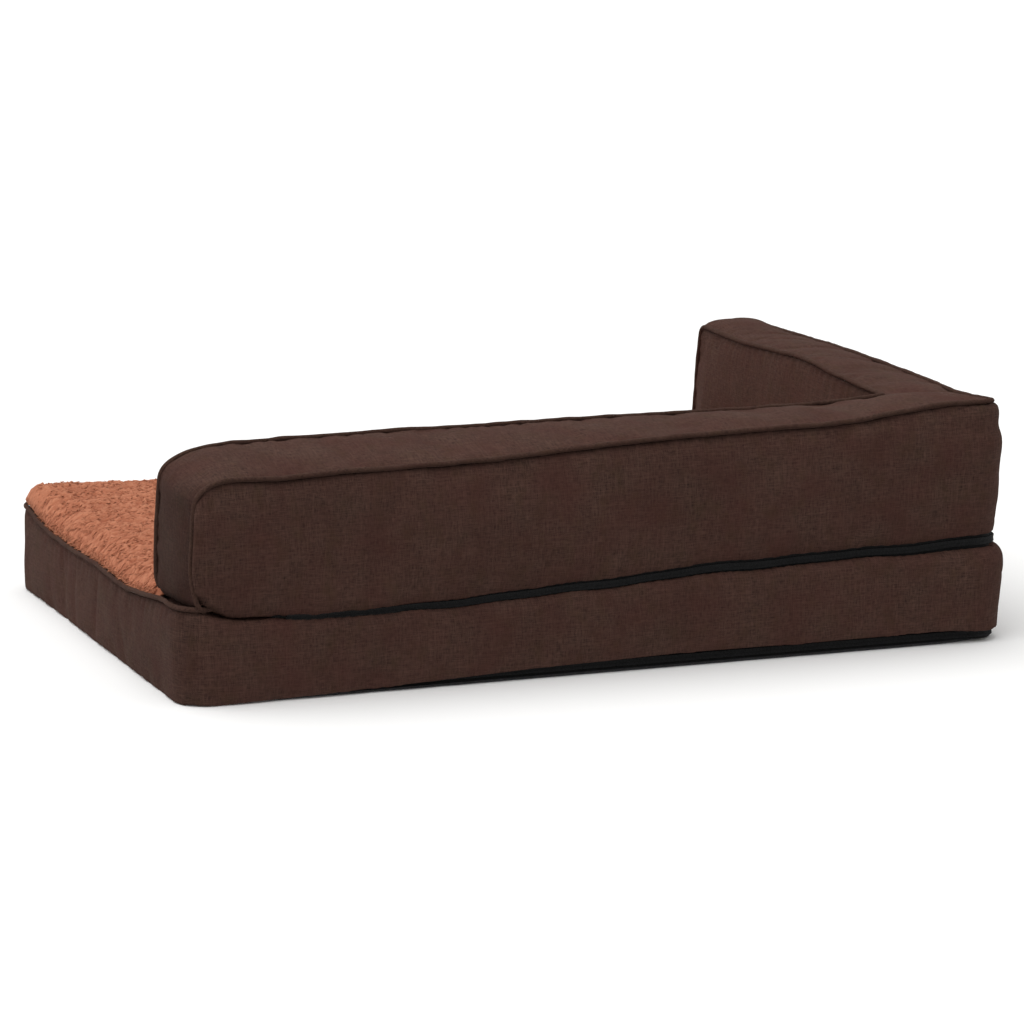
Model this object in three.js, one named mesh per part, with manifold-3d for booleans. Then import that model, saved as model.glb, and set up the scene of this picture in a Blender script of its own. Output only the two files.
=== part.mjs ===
// A pet cushion bed: a flat foam mattress with a fleece top, and an L-shaped foam bolster
// sewn along its back and its right-hand end. Two black coil zips, one above and one below the
// mattress wall, run along the back and round the back right corner, so that the covers come off.
//
// Millimetres, +Z up. The origin is on the floor, under the middle of the bed.
// +X runs along the bed to the open end, +Y to the back, and the short arm of the bolster is at -X.
// "Depth" is how far a surface lies inside the plane of the bed's side walls.

import * as THREE from "three";
import { mergeVertices } from "three/addons/utils/BufferGeometryUtils.js";
import Module from "manifold-3d";

// ---- Driving dimensions ----

const HALF_LENGTH = 373; // from the middle to the outside of an end wall
const HALF_WIDTH = 263;
const CORNER = 26; // plan radius of the mattress corners
const FABRIC = 1.5; // cover fabric with its lining
const GAP = 0.3; // between pieces that are sewn or pressed together
const FOAM_EDGE = 6; // rounding of the foam blocks

const BASE_TOP = 1.5; // upper face of the anti-slip panel
const WALL_FOOT = 2;
const FLEECE_FOOT = 82.6;
const BOLSTER_FOOT = 84.8;
const PILE_TOP = 94;
const PILE_INSET = 4;

const BOLSTER_TOP = 209;
const ARM_WIDTH = { long: 88, short: 76 }; // of the bolster
const ARM_INSET = 4; // how far the free ends stand back from the mattress wall
const END_RADIUS = { long: 40, short: 14 }; // rounded upper corner of each free end

const PIPING_RADIUS = 2.5;
const MATTRESS_PIPING_DEPTH = 0.5;
const MATTRESS_PIPING_HEIGHT = 82;
const BOLSTER_PIPING_DEPTH = 1.5; // of the cord's centre, below the top and behind the face alike
const PIPING_ROOM = BOLSTER_PIPING_DEPTH + PIPING_RADIUS + GAP;

const BASE_ZIP_HEIGHT = 7.5; // of the middle of the coils
const BOLSTER_ZIP_HEIGHT = 92.1;
const ZIP_OPENING = { back: 300, front: -216 }; // ends of the gap in the cover, in X and in Y
const TAPE_END = { back: 296, front: -212 };
const COIL_END = { back: 284, front: -191 };
const TAPE = { depth: 5, thickness: 0.8, innerEdge: 0.9, outerEdge: 13, leg: 12 };
const COIL = { depth: 2.9, thickness: 1.8, innerEdge: 0.7, outerEdge: 3.1 };
const ZIP_LOWER_EDGE = 5.5; // from the middle of the coils to the lower sewn edge
const HEM = { height: 6, depth: 4.7 }; // the fabric turned in above the coils
const STOP = { clearance: 0.3, length: 3, depth: 2.7, height: 3.4 };

const SLIDER_REST = -182; // Y of each slider with its zip closed
const SLIDER = { frontPlate: [-2.5, -1.3], backPlate: [-7.2, -6.2], bridgeTop: 1.8, bridgeReach: 3.8 };
const PULL = { axis: -0.25, thickness: 1.1, eyeLength: 6, length: 28, halfWidth: 3.2, eyeHalfWidth: 1.7 };

const ARC_SEGMENTS = 4; // an arc gets twice as many
const EDGE_SEGMENTS = 2;
const FAR = 450; // past every side of the bed

// ---- Solids ----

const wasm = await Module();
wasm.setup();

/** A closed three.js geometry as a solid that can be joined and cut. */
function solid(geometry) {
  const bare = geometry.index ? geometry.toNonIndexed() : geometry.clone();
  bare.deleteAttribute("normal");
  bare.deleteAttribute("uv");
  const merged = mergeVertices(bare, 1e-3);
  const vertProperties = merged.attributes.position.array;
  const triVerts = new Uint32Array(merged.index.array);
  return new wasm.Manifold(new wasm.Mesh({ numProp: 3, vertProperties, triVerts }));
}

/** A flat outline raised along Z, with its edges rounded by bevel. */
function prism(shape, low, high, bevel = 0) {
  const geometry = new THREE.ExtrudeGeometry(shape, {
    depth: high - low - 2 * bevel,
    curveSegments: ARC_SEGMENTS,
    bevelEnabled: bevel > 0,
    bevelThickness: bevel,
    bevelSize: bevel,
    bevelOffset: -bevel,
    bevelSegments: EDGE_SEGMENTS,
  });
  return geometry.translate(0, 0, low + bevel);
}

const X_AXIS = new THREE.Vector3(1, 0, 0);
const Y_AXIS = new THREE.Vector3(0, 1, 0);
const Z_AXIS = new THREE.Vector3(0, 0, 1);

/** An outline drawn in X and Z, raised along Y. */
function prismAlongY(shape, low, high, bevel = 0) {
  const turn = new THREE.Matrix4().makeBasis(X_AXIS, Z_AXIS, Y_AXIS.clone().negate());
  return prism(shape, -high, -low, bevel).applyMatrix4(turn);
}

/** An outline drawn in Y and Z, raised along X. */
function prismAlongX(shape, low, high, bevel = 0) {
  const turn = new THREE.Matrix4().makeBasis(Y_AXIS, Z_AXIS, X_AXIS);
  return prism(shape, low, high, bevel).applyMatrix4(turn);
}

/** A box between two corners. */
function block(low, high) {
  const size = high.map((value, i) => value - low[i]);
  const middle = high.map((value, i) => (value + low[i]) / 2);
  return solid(new THREE.BoxGeometry(...size).translate(...middle));
}

/** A closed outline through points. */
function polygon(...points) {
  return new THREE.Shape(points.map(([x, y]) => new THREE.Vector2(x, y)));
}

function unite(first, ...others) {
  return others.reduce((whole, piece) => whole.add(piece), first);
}

// ---- Outlines ----

/** The bed's plan outline, drawn inwards by depth. */
function planOutline(depth, Path = THREE.Shape) {
  const x = HALF_LENGTH - depth;
  const y = HALF_WIDTH - depth;
  const radius = CORNER - depth;
  const outline = new Path();
  outline.absarc(x - radius, y - radius, radius, 0, Math.PI / 2);
  outline.absarc(radius - x, y - radius, radius, Math.PI / 2, Math.PI);
  outline.absarc(radius - x, radius - y, radius, Math.PI, 1.5 * Math.PI);
  outline.absarc(x - radius, radius - y, radius, 1.5 * Math.PI, 2 * Math.PI);
  outline.closePath();
  return outline;
}

/** The bolster's plan outline. Only the bed's back right corner is rounded, and the free ends aren't drawn. */
function bolsterOutline(depth) {
  const x = -HALF_LENGTH + depth;
  const y = HALF_WIDTH - depth;
  const radius = CORNER - depth;
  const outline = new THREE.Shape();
  outline.moveTo(x, -FAR);
  outline.lineTo(FAR, -FAR);
  outline.lineTo(FAR, y);
  outline.absarc(x + radius, y - radius, radius, Math.PI / 2, Math.PI);
  outline.closePath();
  return outline;
}

/** A wall that goes round the bed, between two depths and two heights. */
function ring(outerDepth, innerDepth, low, high) {
  const outline = planOutline(outerDepth);
  outline.holes.push(planOutline(innerDepth, THREE.Path));
  return solid(prism(outline, low, high));
}

/** The space along the back and round to the right-hand side, up to a zip's two ends. */
function zipRun(end, low, high) {
  const innerX = -HALF_LENGTH + CORNER;
  const innerY = HALF_WIDTH - CORNER;
  const outline = polygon(
    [-FAR, end.front],
    [innerX, end.front],
    [innerX, innerY],
    [end.back, innerY],
    [end.back, FAR],
    [-FAR, FAR],
  );
  return solid(prism(outline, low, high));
}

/** A bolster arm seen from its side: square at the bed's corner, with one rounded upper corner at its free end. */
function armOutline(start, end, low, high, radius) {
  const out = Math.sign(end - start);
  const outline = new THREE.Shape();
  outline.moveTo(start, low);
  outline.lineTo(end, low);
  outline.absarc(end - out * radius, high - radius, radius, out > 0 ? 0 : Math.PI, Math.PI / 2, out < 0);
  outline.lineTo(start, high);
  outline.closePath();
  return outline;
}

const LONG_END = HALF_LENGTH - ARM_INSET;
const SHORT_END = -(HALF_WIDTH - ARM_INSET);
const INNER_Y = HALF_WIDTH - ARM_WIDTH.long; // inner face of the long arm
const INNER_X = -HALF_LENGTH + ARM_WIDTH.short; // inner face of the short arm

function longOutline(inset, low) {
  return armOutline(-FAR, LONG_END - inset, low, BOLSTER_TOP - inset, END_RADIUS.long - inset);
}

function shortOutline(inset, low) {
  return armOutline(FAR, SHORT_END + inset, low, BOLSTER_TOP - inset, END_RADIUS.short - inset);
}

// ---- Piping ----

/** A line with one step for each of its stations, however far apart they are. */
class Route extends THREE.Curve {
  constructor(stations) {
    super();
    this.stations = stations;
  }

  getUtoTmapping(u) {
    return u;
  }

  getPoint(t, target = new THREE.Vector3()) {
    const last = this.stations.length - 1;
    const i = Math.min(Math.floor(t * last), last - 1);
    return target.lerpVectors(this.stations[i], this.stations[i + 1], t * last - i);
  }
}

/** The stations of a line whose right-angled corners are rounded: corners are [point, radius]. */
function roundedStations(corners) {
  const points = corners.map(([point]) => new THREE.Vector3(...point));
  const stations = [points[0]];
  const steps = 2 * ARC_SEGMENTS;
  for (let i = 1; i < points.length - 1; i += 1) {
    const radius = corners[i][1];
    const back = points[i - 1].clone().sub(points[i]).setLength(radius);
    const on = points[i + 1].clone().sub(points[i]).setLength(radius);
    const centre = points[i].clone().add(back).add(on);
    for (let step = 0; step <= steps; step += 1) {
      const angle = (step / steps) * (Math.PI / 2);
      const spoke = on.clone().multiplyScalar(Math.cos(angle)).addScaledVector(back, Math.sin(angle));
      stations.push(centre.clone().sub(spoke));
    }
  }
  stations.push(points[points.length - 1]);
  return stations;
}

function pipingCord(corners) {
  const section = new THREE.Shape();
  section.absarc(0, 0, PIPING_RADIUS, 0, 2 * Math.PI);
  const stations = roundedStations(corners);
  return new THREE.ExtrudeGeometry(section, {
    steps: stations.length - 1,
    curveSegments: ARC_SEGMENTS,
    extrudePath: new Route(stations),
  });
}

/** The cord round the mattress's upper edge, from one end of the bolster zip to the other. */
function mattressPiping() {
  const x = HALF_LENGTH - MATTRESS_PIPING_DEPTH;
  const y = HALF_WIDTH - MATTRESS_PIPING_DEPTH;
  const z = MATTRESS_PIPING_HEIGHT;
  const radius = CORNER - MATTRESS_PIPING_DEPTH;
  return pipingCord([
    [[ZIP_OPENING.back + 1, y, z]],
    [[x, y, z], radius],
    [[x, -y, z], radius],
    [[-x, -y, z], radius],
    [[-x, ZIP_OPENING.front - 1, z]],
  ]);
}

/** The cord up the long arm's free end, along both arms and down the short arm's end. */
function bolsterPiping(x, y, cornerRadius) {
  const top = BOLSTER_TOP - BOLSTER_PIPING_DEPTH;
  const foot = BOLSTER_FOOT + FABRIC + GAP;
  const longEnd = LONG_END - BOLSTER_PIPING_DEPTH;
  const shortEnd = SHORT_END + BOLSTER_PIPING_DEPTH;
  return pipingCord([
    [[longEnd, y, foot]],
    [[longEnd, y, top], END_RADIUS.long - BOLSTER_PIPING_DEPTH],
    [[x, y, top], cornerRadius],
    [[x, shortEnd, top], END_RADIUS.short - BOLSTER_PIPING_DEPTH],
    [[x, shortEnd, foot]],
  ]);
}

// ---- Mattress ----

/** The room that a zip's slider and tapes need behind the cover. */
function zipChannel(height) {
  const depth = -SLIDER.backPlate[0] + GAP;
  const channel = ring(0, depth, height - TAPE.outerEdge, height + TAPE.outerEdge + GAP);
  return channel.intersect(zipRun(ZIP_OPENING, -FAR, FAR));
}

function mattressFoam() {
  const outline = planOutline(FABRIC + GAP);
  const slab = solid(prism(outline, BASE_TOP + 1.7, FLEECE_FOOT - GAP, FOAM_EDGE));
  return slab.subtract(zipChannel(BASE_ZIP_HEIGHT));
}

/** The wall round the mattress, with its edges turned in above the base zip and below the bolster zip. */
function mattressSideBand() {
  const wallTop = MATTRESS_PIPING_HEIGHT - PIPING_RADIUS - GAP;
  const hemFoot = BASE_ZIP_HEIGHT + HEM.height;
  const run = zipRun(ZIP_OPENING, -FAR, FAR);
  const baseGap = zipRun(ZIP_OPENING, -FAR, hemFoot);
  const wall = ring(0, FABRIC, WALL_FOOT, wallTop);
  const foot = ring(0, 4 * FABRIC, WALL_FOOT, WALL_FOOT + FABRIC);
  const zipWall = ring(0, FABRIC, wallTop - 1, BOLSTER_FOOT + FABRIC).intersect(run);
  const upperHem = ring(0, HEM.depth, BOLSTER_FOOT, BOLSTER_FOOT + FABRIC).intersect(run);
  const lowerHem = ring(0, HEM.depth, hemFoot, hemFoot + FABRIC).intersect(run);
  return unite(wall.add(foot).subtract(baseGap), zipWall, upperHem, lowerHem);
}

/** The fleece panel: backing over the whole mattress, and pile where the bolster doesn't cover it. */
function fleeceTop() {
  const backing = solid(prism(planOutline(PIPING_RADIUS + 0.8), FLEECE_FOOT, FLEECE_FOOT + FABRIC));
  const pileOutline = new THREE.Shape();
  const left = INNER_X + PILE_INSET / 2;
  const right = HALF_LENGTH - PILE_INSET;
  const front = PILE_INSET - HALF_WIDTH;
  const back = INNER_Y - PILE_INSET / 2;
  const radius = CORNER - PILE_INSET;
  pileOutline.moveTo(left, front);
  pileOutline.absarc(right - radius, front + radius, radius, -Math.PI / 2, 0);
  pileOutline.lineTo(right, back);
  pileOutline.lineTo(left, back);
  pileOutline.closePath();
  const pile = solid(prism(pileOutline, FLEECE_FOOT + FABRIC / 2, PILE_TOP, PILE_INSET / 2));
  return backing.add(pile);
}

function mattressBasePanel() {
  return solid(prism(planOutline(TAPE.depth), 0, BASE_TOP));
}

// ---- Bolster ----

function longArm(inset, low, bevel = 0) {
  return solid(prismAlongY(longOutline(inset, low), INNER_Y + inset, HALF_WIDTH - inset, bevel));
}

function shortArm(inset, low, bevel = 0) {
  return solid(prismAlongX(shortOutline(inset, low), -HALF_LENGTH + inset, INNER_X - inset, bevel));
}

/** Everything inside the bolster's plan outline at a depth. */
function insideBolster(depth) {
  return solid(prism(bolsterOutline(depth), -FAR, FAR));
}

const FOAM_DEPTH = FABRIC + GAP;
const FOAM_FOOT = BOLSTER_FOOT + FABRIC + TAPE.thickness + 2 * GAP;

/** The block that runs the whole length of the back, round the corner included. */
function bolsterLongFoam() {
  const top = BOLSTER_TOP - FOAM_DEPTH;
  const roundedCorner = solid(prism(bolsterOutline(FOAM_DEPTH), FOAM_FOOT, top, FOAM_EDGE));
  const arm = longArm(FOAM_DEPTH, FOAM_FOOT, FOAM_EDGE).intersect(roundedCorner);
  return arm.subtract(zipChannel(BOLSTER_ZIP_HEIGHT));
}

/** The block that butts against the long one. */
function bolsterShortFoam() {
  const arm = shortArm(FOAM_DEPTH, FOAM_FOOT, FOAM_EDGE);
  const room = block([-FAR, -FAR, 0], [FAR, INNER_Y + FOAM_DEPTH - GAP, FAR]);
  return arm.intersect(room).subtract(zipChannel(BOLSTER_ZIP_HEIGHT));
}

/** The outer wall of both arms, open below for the zip, with its edge turned in above the coils. */
function bolsterOuterPanel() {
  const hemFoot = BOLSTER_ZIP_HEIGHT + HEM.height;
  const wall = insideBolster(0).subtract(insideBolster(FABRIC));
  const hem = ring(0, HEM.depth, hemFoot, hemFoot + FABRIC).intersect(zipRun(ZIP_OPENING, -FAR, FAR));
  const longFace = solid(prismAlongY(longOutline(PIPING_ROOM, BOLSTER_FOOT), -FAR, FAR));
  const shortFace = solid(prismAlongX(shortOutline(PIPING_ROOM, BOLSTER_FOOT), -FAR, FAR));
  const strip = zipRun({ back: LONG_END, front: SHORT_END }, -FAR, FAR);
  const open = wall.subtract(zipRun(ZIP_OPENING, -FAR, hemFoot));
  return open.add(hem).intersect(longFace).intersect(shortFace).intersect(strip);
}

function bolsterInnerBackPanel() {
  const profile = longOutline(PIPING_ROOM, BOLSTER_FOOT);
  const sheet = solid(prismAlongY(profile, INNER_Y, INNER_Y + FABRIC));
  return sheet.intersect(block([INNER_X + GAP, -FAR, 0], [FAR, FAR, FAR]));
}

function bolsterInnerRightPanel() {
  const profile = shortOutline(PIPING_ROOM, BOLSTER_FOOT);
  const sheet = solid(prismAlongX(profile, INNER_X - FABRIC, INNER_X));
  return sheet.intersect(block([-FAR, -FAR, 0], [FAR, INNER_Y - GAP, FAR]));
}

/** Both arms as solids between their piping, drawn inwards by inset and opened sideways by reach. */
function armsInsidePiping(inset, foot, reach) {
  const long = prismAlongY(longOutline(inset, foot), INNER_Y + PIPING_ROOM - reach, FAR);
  const short = prismAlongX(shortOutline(inset, foot), -FAR, INNER_X - PIPING_ROOM + reach);
  return solid(long).add(solid(short));
}

/** The strip between the two lines of piping: over the top of both arms and down both free ends. */
function bolsterTopBand() {
  const strip = armsInsidePiping(0, BOLSTER_FOOT, 0).subtract(armsInsidePiping(FABRIC, 0, 1));
  return strip.intersect(insideBolster(PIPING_ROOM));
}

/** The bolster's underside, cut back behind the zip. */
function bolsterBottomPanel() {
  const outline = polygon(
    [-FAR, SHORT_END + FOAM_DEPTH],
    [INNER_X - FOAM_DEPTH, SHORT_END + FOAM_DEPTH],
    [INNER_X - FOAM_DEPTH, INNER_Y + FOAM_DEPTH],
    [LONG_END - FOAM_DEPTH, INNER_Y + FOAM_DEPTH],
    [LONG_END - FOAM_DEPTH, FAR],
    [-FAR, FAR],
  );
  const sheet = solid(prism(outline, BOLSTER_FOOT, BOLSTER_FOOT + FABRIC));
  const behindZip = ring(0, TAPE.depth, 0, FAR).intersect(zipRun(ZIP_OPENING, 0, FAR));
  return sheet.intersect(insideBolster(FOAM_DEPTH)).subtract(behindZip);
}

function bolsterOuterPiping() {
  const x = -HALF_LENGTH + BOLSTER_PIPING_DEPTH;
  return bolsterPiping(x, HALF_WIDTH - BOLSTER_PIPING_DEPTH, CORNER - BOLSTER_PIPING_DEPTH);
}

function bolsterInnerPiping() {
  return bolsterPiping(INNER_X - BOLSTER_PIPING_DEPTH, INNER_Y + BOLSTER_PIPING_DEPTH, 2 * PIPING_RADIUS);
}

// ---- Zips ----

/** The tape above the coils, behind the wall that it is sewn to. */
function upperTape(height) {
  const { depth, thickness, innerEdge, outerEdge } = TAPE;
  const tape = ring(depth, depth + thickness, height + innerEdge, height + outerEdge);
  return tape.intersect(zipRun(TAPE_END, -FAR, FAR));
}

/** The tape below the coils, with its edge turned in flat under the seam. */
function lowerTape(height) {
  const { depth, thickness, innerEdge, leg } = TAPE;
  const foot = height - ZIP_LOWER_EDGE;
  const upright = ring(depth, depth + thickness, foot, height - innerEdge);
  const turnedIn = ring(depth, leg, foot, foot + thickness);
  return upright.add(turnedIn).intersect(zipRun(TAPE_END, -FAR, FAR));
}

/** One row of coils; side is 1 for the upper row and -1 for the lower. */
function coil(height, side) {
  const { depth, thickness, innerEdge, outerEdge } = COIL;
  const [low, high] = [height + side * innerEdge, height + side * outerEdge].sort((a, b) => a - b);
  return ring(depth, depth + thickness, low, high).intersect(zipRun(COIL_END, -FAR, FAR));
}

/** The small clamp past the end of one row of coils, where the zip closes. */
function topStop(height, side) {
  const x = -HALF_LENGTH + STOP.depth;
  const y = COIL_END.front - STOP.clearance;
  const [low, high] = [height + side * COIL.innerEdge, height + side * STOP.height].sort((a, b) => a - b);
  return block([x, y - STOP.length, low], [-HALF_LENGTH + COIL.depth + COIL.thickness, y, high]);
}

/** The clamp across both rows of coils, where the zip ends at the back. */
function bottomStop(height) {
  const x = COIL_END.back + STOP.clearance;
  const y = HALF_WIDTH - COIL.depth - COIL.thickness;
  const low = [x, y, height - STOP.height];
  return block(low, [x + STOP.length + 1, HALF_WIDTH - STOP.depth, height + STOP.height]);
}

/** Carries a piece drawn flat, along X to the closed end and with Z facing out, to the right-hand wall. */
function ontoRightWall(piece, height) {
  const turn = new THREE.Matrix4().makeBasis(Y_AXIS.clone().negate(), Z_AXIS, X_AXIS.clone().negate());
  turn.setPosition(-HALF_LENGTH, SLIDER_REST, height);
  return piece.transform(turn.toArray());
}

/** A zip slider: two plates joined by a neck between the coils, side flanges and a bridge for the pull. */
function slider(height) {
  const plate = polygon(
    [-6.5, -3.4],
    [-4.5, -4.25],
    [4, -4.25],
    [6.5, -2.4],
    [5.2, 0],
    [6.5, 2.4],
    [4, 4.25],
    [-4.5, 4.25],
    [-6.5, 3.4],
  );
  const { frontPlate, backPlate, bridgeTop, bridgeReach } = SLIDER;
  const front = solid(prism(plate, ...frontPlate));
  const back = solid(prism(plate, ...backPlate));
  const neck = block([2.6, -0.4, backPlate[0] + 0.5], [5, 0.4, frontPlate[1] - 0.5]);
  const flanges = [-1, 1].map((side) => {
    const edges = [side * 3.5, side * 4.2].sort((a, b) => a - b);
    return block([-4.4, edges[0], -4.7], [2, edges[1], frontPlate[1] - 0.5]);
  });
  const arch = block([-bridgeReach, -0.9, frontPlate[1] - 0.5], [bridgeReach, 0.9, bridgeTop]);
  const underArch = block([1 - bridgeReach, -1, frontPlate[1]], [bridgeReach - 1, 1, bridgeTop - 1]);
  return ontoRightWall(unite(front, back, neck, ...flanges, arch.subtract(underArch)), height);
}

/** A zip pull: an eye round the slider's bridge, and a tongue with a slot. It points away from the closed end. */
function pull(height) {
  const { axis, thickness, eyeLength, length, halfWidth, eyeHalfWidth } = PULL;
  const bar = thickness / 2;
  const tipRadius = halfWidth - 0.6;
  const tip = tipRadius - length;
  const outline = new THREE.Shape();
  outline.moveTo(bar, -halfWidth);
  outline.lineTo(bar, halfWidth);
  outline.lineTo(-eyeLength, halfWidth);
  outline.absarc(tip, 0, tipRadius, Math.PI / 2, 1.5 * Math.PI);
  outline.lineTo(-eyeLength, -halfWidth);
  outline.closePath();
  const eye = new THREE.Path([
    new THREE.Vector2(-bar, -eyeHalfWidth),
    new THREE.Vector2(-eyeLength, -eyeHalfWidth),
    new THREE.Vector2(-eyeLength, eyeHalfWidth),
    new THREE.Vector2(-bar, eyeHalfWidth),
  ]);
  const slot = new THREE.Path();
  slot.absarc(tip + 6, 0, 1, -Math.PI / 2, Math.PI / 2);
  slot.absarc(tip, 0, 1, Math.PI / 2, 1.5 * Math.PI);
  slot.closePath();
  outline.holes.push(eye, slot);
  return ontoRightWall(solid(prism(outline, axis - bar, axis + bar)), height);
}

// ---- Assembly ----

const LOOKS = {
  linen: { color: 0x4a3832, roughness: 0.95, metalness: 0 },
  piping: { color: 0x43332e, roughness: 0.95, metalness: 0 },
  fleece: { color: 0xb06f56, roughness: 1, metalness: 0 },
  foam: { color: 0xe8e2d2, roughness: 1, metalness: 0 },
  antiSlip: { color: 0x1a1a1b, roughness: 0.9, metalness: 0 },
  zipTape: { color: 0x18191a, roughness: 0.9, metalness: 0 },
  zipCoil: { color: 0x141516, roughness: 0.5, metalness: 0 },
  zipMetal: { color: 0x1c1c1e, roughness: 0.35, metalness: 0.8 },
};

const materials = Object.fromEntries(
  Object.entries(LOOKS).map(([name, look]) => [name, new THREE.MeshStandardMaterial({ name, ...look })]),
);

/** A named mesh from a solid or a geometry. */
function part(name, shape, look) {
  let geometry = shape;
  if (!shape.isBufferGeometry) {
    const { vertProperties, triVerts } = shape.getMesh();
    geometry = new THREE.BufferGeometry();
    geometry.setAttribute("position", new THREE.BufferAttribute(vertProperties, 3));
    geometry.setIndex(new THREE.BufferAttribute(triVerts, 1));
    geometry.computeVertexNormals();
  }
  const mesh = new THREE.Mesh(geometry, materials[look]);
  mesh.name = name;
  return mesh;
}

function mattress() {
  const group = new THREE.Group();
  group.add(
    part("mattress_foam", mattressFoam(), "foam"),
    part("mattress_side_band", mattressSideBand(), "linen"),
    part("mattress_fleece_top", fleeceTop(), "fleece"),
    part("mattress_base_panel", mattressBasePanel(), "antiSlip"),
    part("mattress_piping", mattressPiping(), "piping"),
  );
  return group;
}

function bolster() {
  const group = new THREE.Group();
  group.add(
    part("bolster_long_foam", bolsterLongFoam(), "foam"),
    part("bolster_short_foam", bolsterShortFoam(), "foam"),
    part("bolster_outer_panel", bolsterOuterPanel(), "linen"),
    part("bolster_inner_back_panel", bolsterInnerBackPanel(), "linen"),
    part("bolster_inner_right_panel", bolsterInnerRightPanel(), "linen"),
    part("bolster_top_band", bolsterTopBand(), "linen"),
    part("bolster_bottom_panel", bolsterBottomPanel(), "linen"),
    part("bolster_outer_piping", bolsterOuterPiping(), "piping"),
    part("bolster_inner_piping", bolsterInnerPiping(), "piping"),
  );
  return group;
}

function zip(name, height) {
  const group = new THREE.Group();
  group.add(
    part(`${name}_upper_tape`, upperTape(height), "zipTape"),
    part(`${name}_lower_tape`, lowerTape(height), "zipTape"),
    part(`${name}_upper_coil`, coil(height, 1), "zipCoil"),
    part(`${name}_lower_coil`, coil(height, -1), "zipCoil"),
    part(`${name}_upper_top_stop`, topStop(height, 1), "zipMetal"),
    part(`${name}_lower_top_stop`, topStop(height, -1), "zipMetal"),
    part(`${name}_bottom_stop`, bottomStop(height), "zipMetal"),
    part(`${name}_slider`, slider(height), "zipMetal"),
    part(`${name}_pull`, pull(height), "zipMetal"),
  );
  return group;
}

const bed = new THREE.Group();
bed.add(mattress(), bolster(), zip("base_zip", BASE_ZIP_HEIGHT), zip("bolster_zip", BOLSTER_ZIP_HEIGHT));

export default bed;
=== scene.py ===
import math

import bpy
import numpy as np
from mathutils import Matrix, Vector


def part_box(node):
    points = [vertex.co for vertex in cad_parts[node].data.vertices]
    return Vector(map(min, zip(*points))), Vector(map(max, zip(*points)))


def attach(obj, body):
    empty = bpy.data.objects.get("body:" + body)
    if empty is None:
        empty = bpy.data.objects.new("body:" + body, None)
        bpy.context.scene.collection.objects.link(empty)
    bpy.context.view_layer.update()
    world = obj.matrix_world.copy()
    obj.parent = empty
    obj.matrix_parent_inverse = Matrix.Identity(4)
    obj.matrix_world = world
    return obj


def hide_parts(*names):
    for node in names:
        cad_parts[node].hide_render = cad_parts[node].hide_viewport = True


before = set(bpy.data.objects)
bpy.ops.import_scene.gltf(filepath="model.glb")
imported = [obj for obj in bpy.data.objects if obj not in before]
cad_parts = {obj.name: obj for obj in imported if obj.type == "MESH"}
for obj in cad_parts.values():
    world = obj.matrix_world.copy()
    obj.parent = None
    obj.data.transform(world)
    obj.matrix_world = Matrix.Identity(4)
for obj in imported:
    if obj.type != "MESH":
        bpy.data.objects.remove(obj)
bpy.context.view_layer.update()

# A pet cushion bed: a fleece-topped foam mattress and an L-shaped bolster along its back and right-hand end.
# Metres, in the CAD frame: +X to the bed's open end, +Y to its back, +Z up.

MM = 0.001

# ---- Places taken from the CAD frame ----

HALF_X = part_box("mattress_side_band")[1].x
HALF_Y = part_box("mattress_side_band")[1].y
CORNER = 26 * MM
INNER_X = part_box("bolster_inner_right_panel")[1].x  # faces of the bolster towards the sleeping space
INNER_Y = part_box("bolster_inner_back_panel")[0].y
LONG_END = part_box("bolster_top_band")[1].x
SHORT_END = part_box("bolster_top_band")[0].y
BASE_ZIP_Z = sum(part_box("base_zip_slider"), Vector()).z / 2
BOLSTER_ZIP_Z = sum(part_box("bolster_zip_slider"), Vector()).z / 2
COIL_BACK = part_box("bolster_zip_upper_coil")[1].x
COIL_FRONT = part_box("bolster_zip_upper_coil")[0].y
TAPE_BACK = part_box("bolster_zip_upper_tape")[1].x
TAPE_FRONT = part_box("bolster_zip_upper_tape")[0].y
PILE_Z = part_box("mattress_fleece_top")[1].z
BOLSTER_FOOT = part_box("bolster_bottom_panel")[0].z

FABRIC = 1.2 * MM
PIPING_RADIUS = 2.15 * MM
CORD_PITCH = 3 * MM

# ---- Camera ----

AZIMUTH, ELEVATION = math.radians(159.65), math.radians(11.10)
CAMERA_DISTANCE = 4.255
CAMERA_SIDE, CAMERA_RISE = 0.012, 0.090  # of the line of sight, from the frame's origin
LENS = 165.3


def make_camera():
    back = Vector((
        math.sin(AZIMUTH) * math.cos(ELEVATION),
        -math.cos(AZIMUTH) * math.cos(ELEVATION),
        math.sin(ELEVATION),
    ))
    right = (-back).cross(Vector((0, 0, 1))).normalized()
    up = right.cross(-back)
    data = bpy.data.cameras.new("camera")
    data.lens = LENS
    data.sensor_width = 36
    data.clip_end = 60
    camera = bpy.data.objects.new("camera", data)
    turn = Matrix((right, up, back)).transposed().to_4x4()
    place = back * CAMERA_DISTANCE + right * CAMERA_SIDE + up * CAMERA_RISE
    camera.matrix_world = Matrix.Translation(place) @ turn
    bpy.context.scene.collection.objects.link(camera)
    bpy.context.scene.camera = camera


# ---- Small maths ----


def step(low, high, x):
    """0 below low and 1 above high, with a smooth rise between them."""
    t = np.clip((np.asarray(x, float) - low) / (high - low), 0, 1)
    return t * t * (3 - 2 * t)


def waves(points, size, seed, count=12):
    """Smooth noise of about unit height, with features about size across."""
    rng = np.random.default_rng(seed)
    points = np.asarray(points, float)
    total = np.zeros(points.shape[:-1])
    for _ in range(count):
        direction = rng.normal(size=points.shape[-1])
        direction *= rng.uniform(0.5, 1.4) * 2 * math.pi / (size * np.linalg.norm(direction))
        total += np.sin(points @ direction + rng.uniform(0, 2 * math.pi))
    return total * math.sqrt(2 / count)


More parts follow.
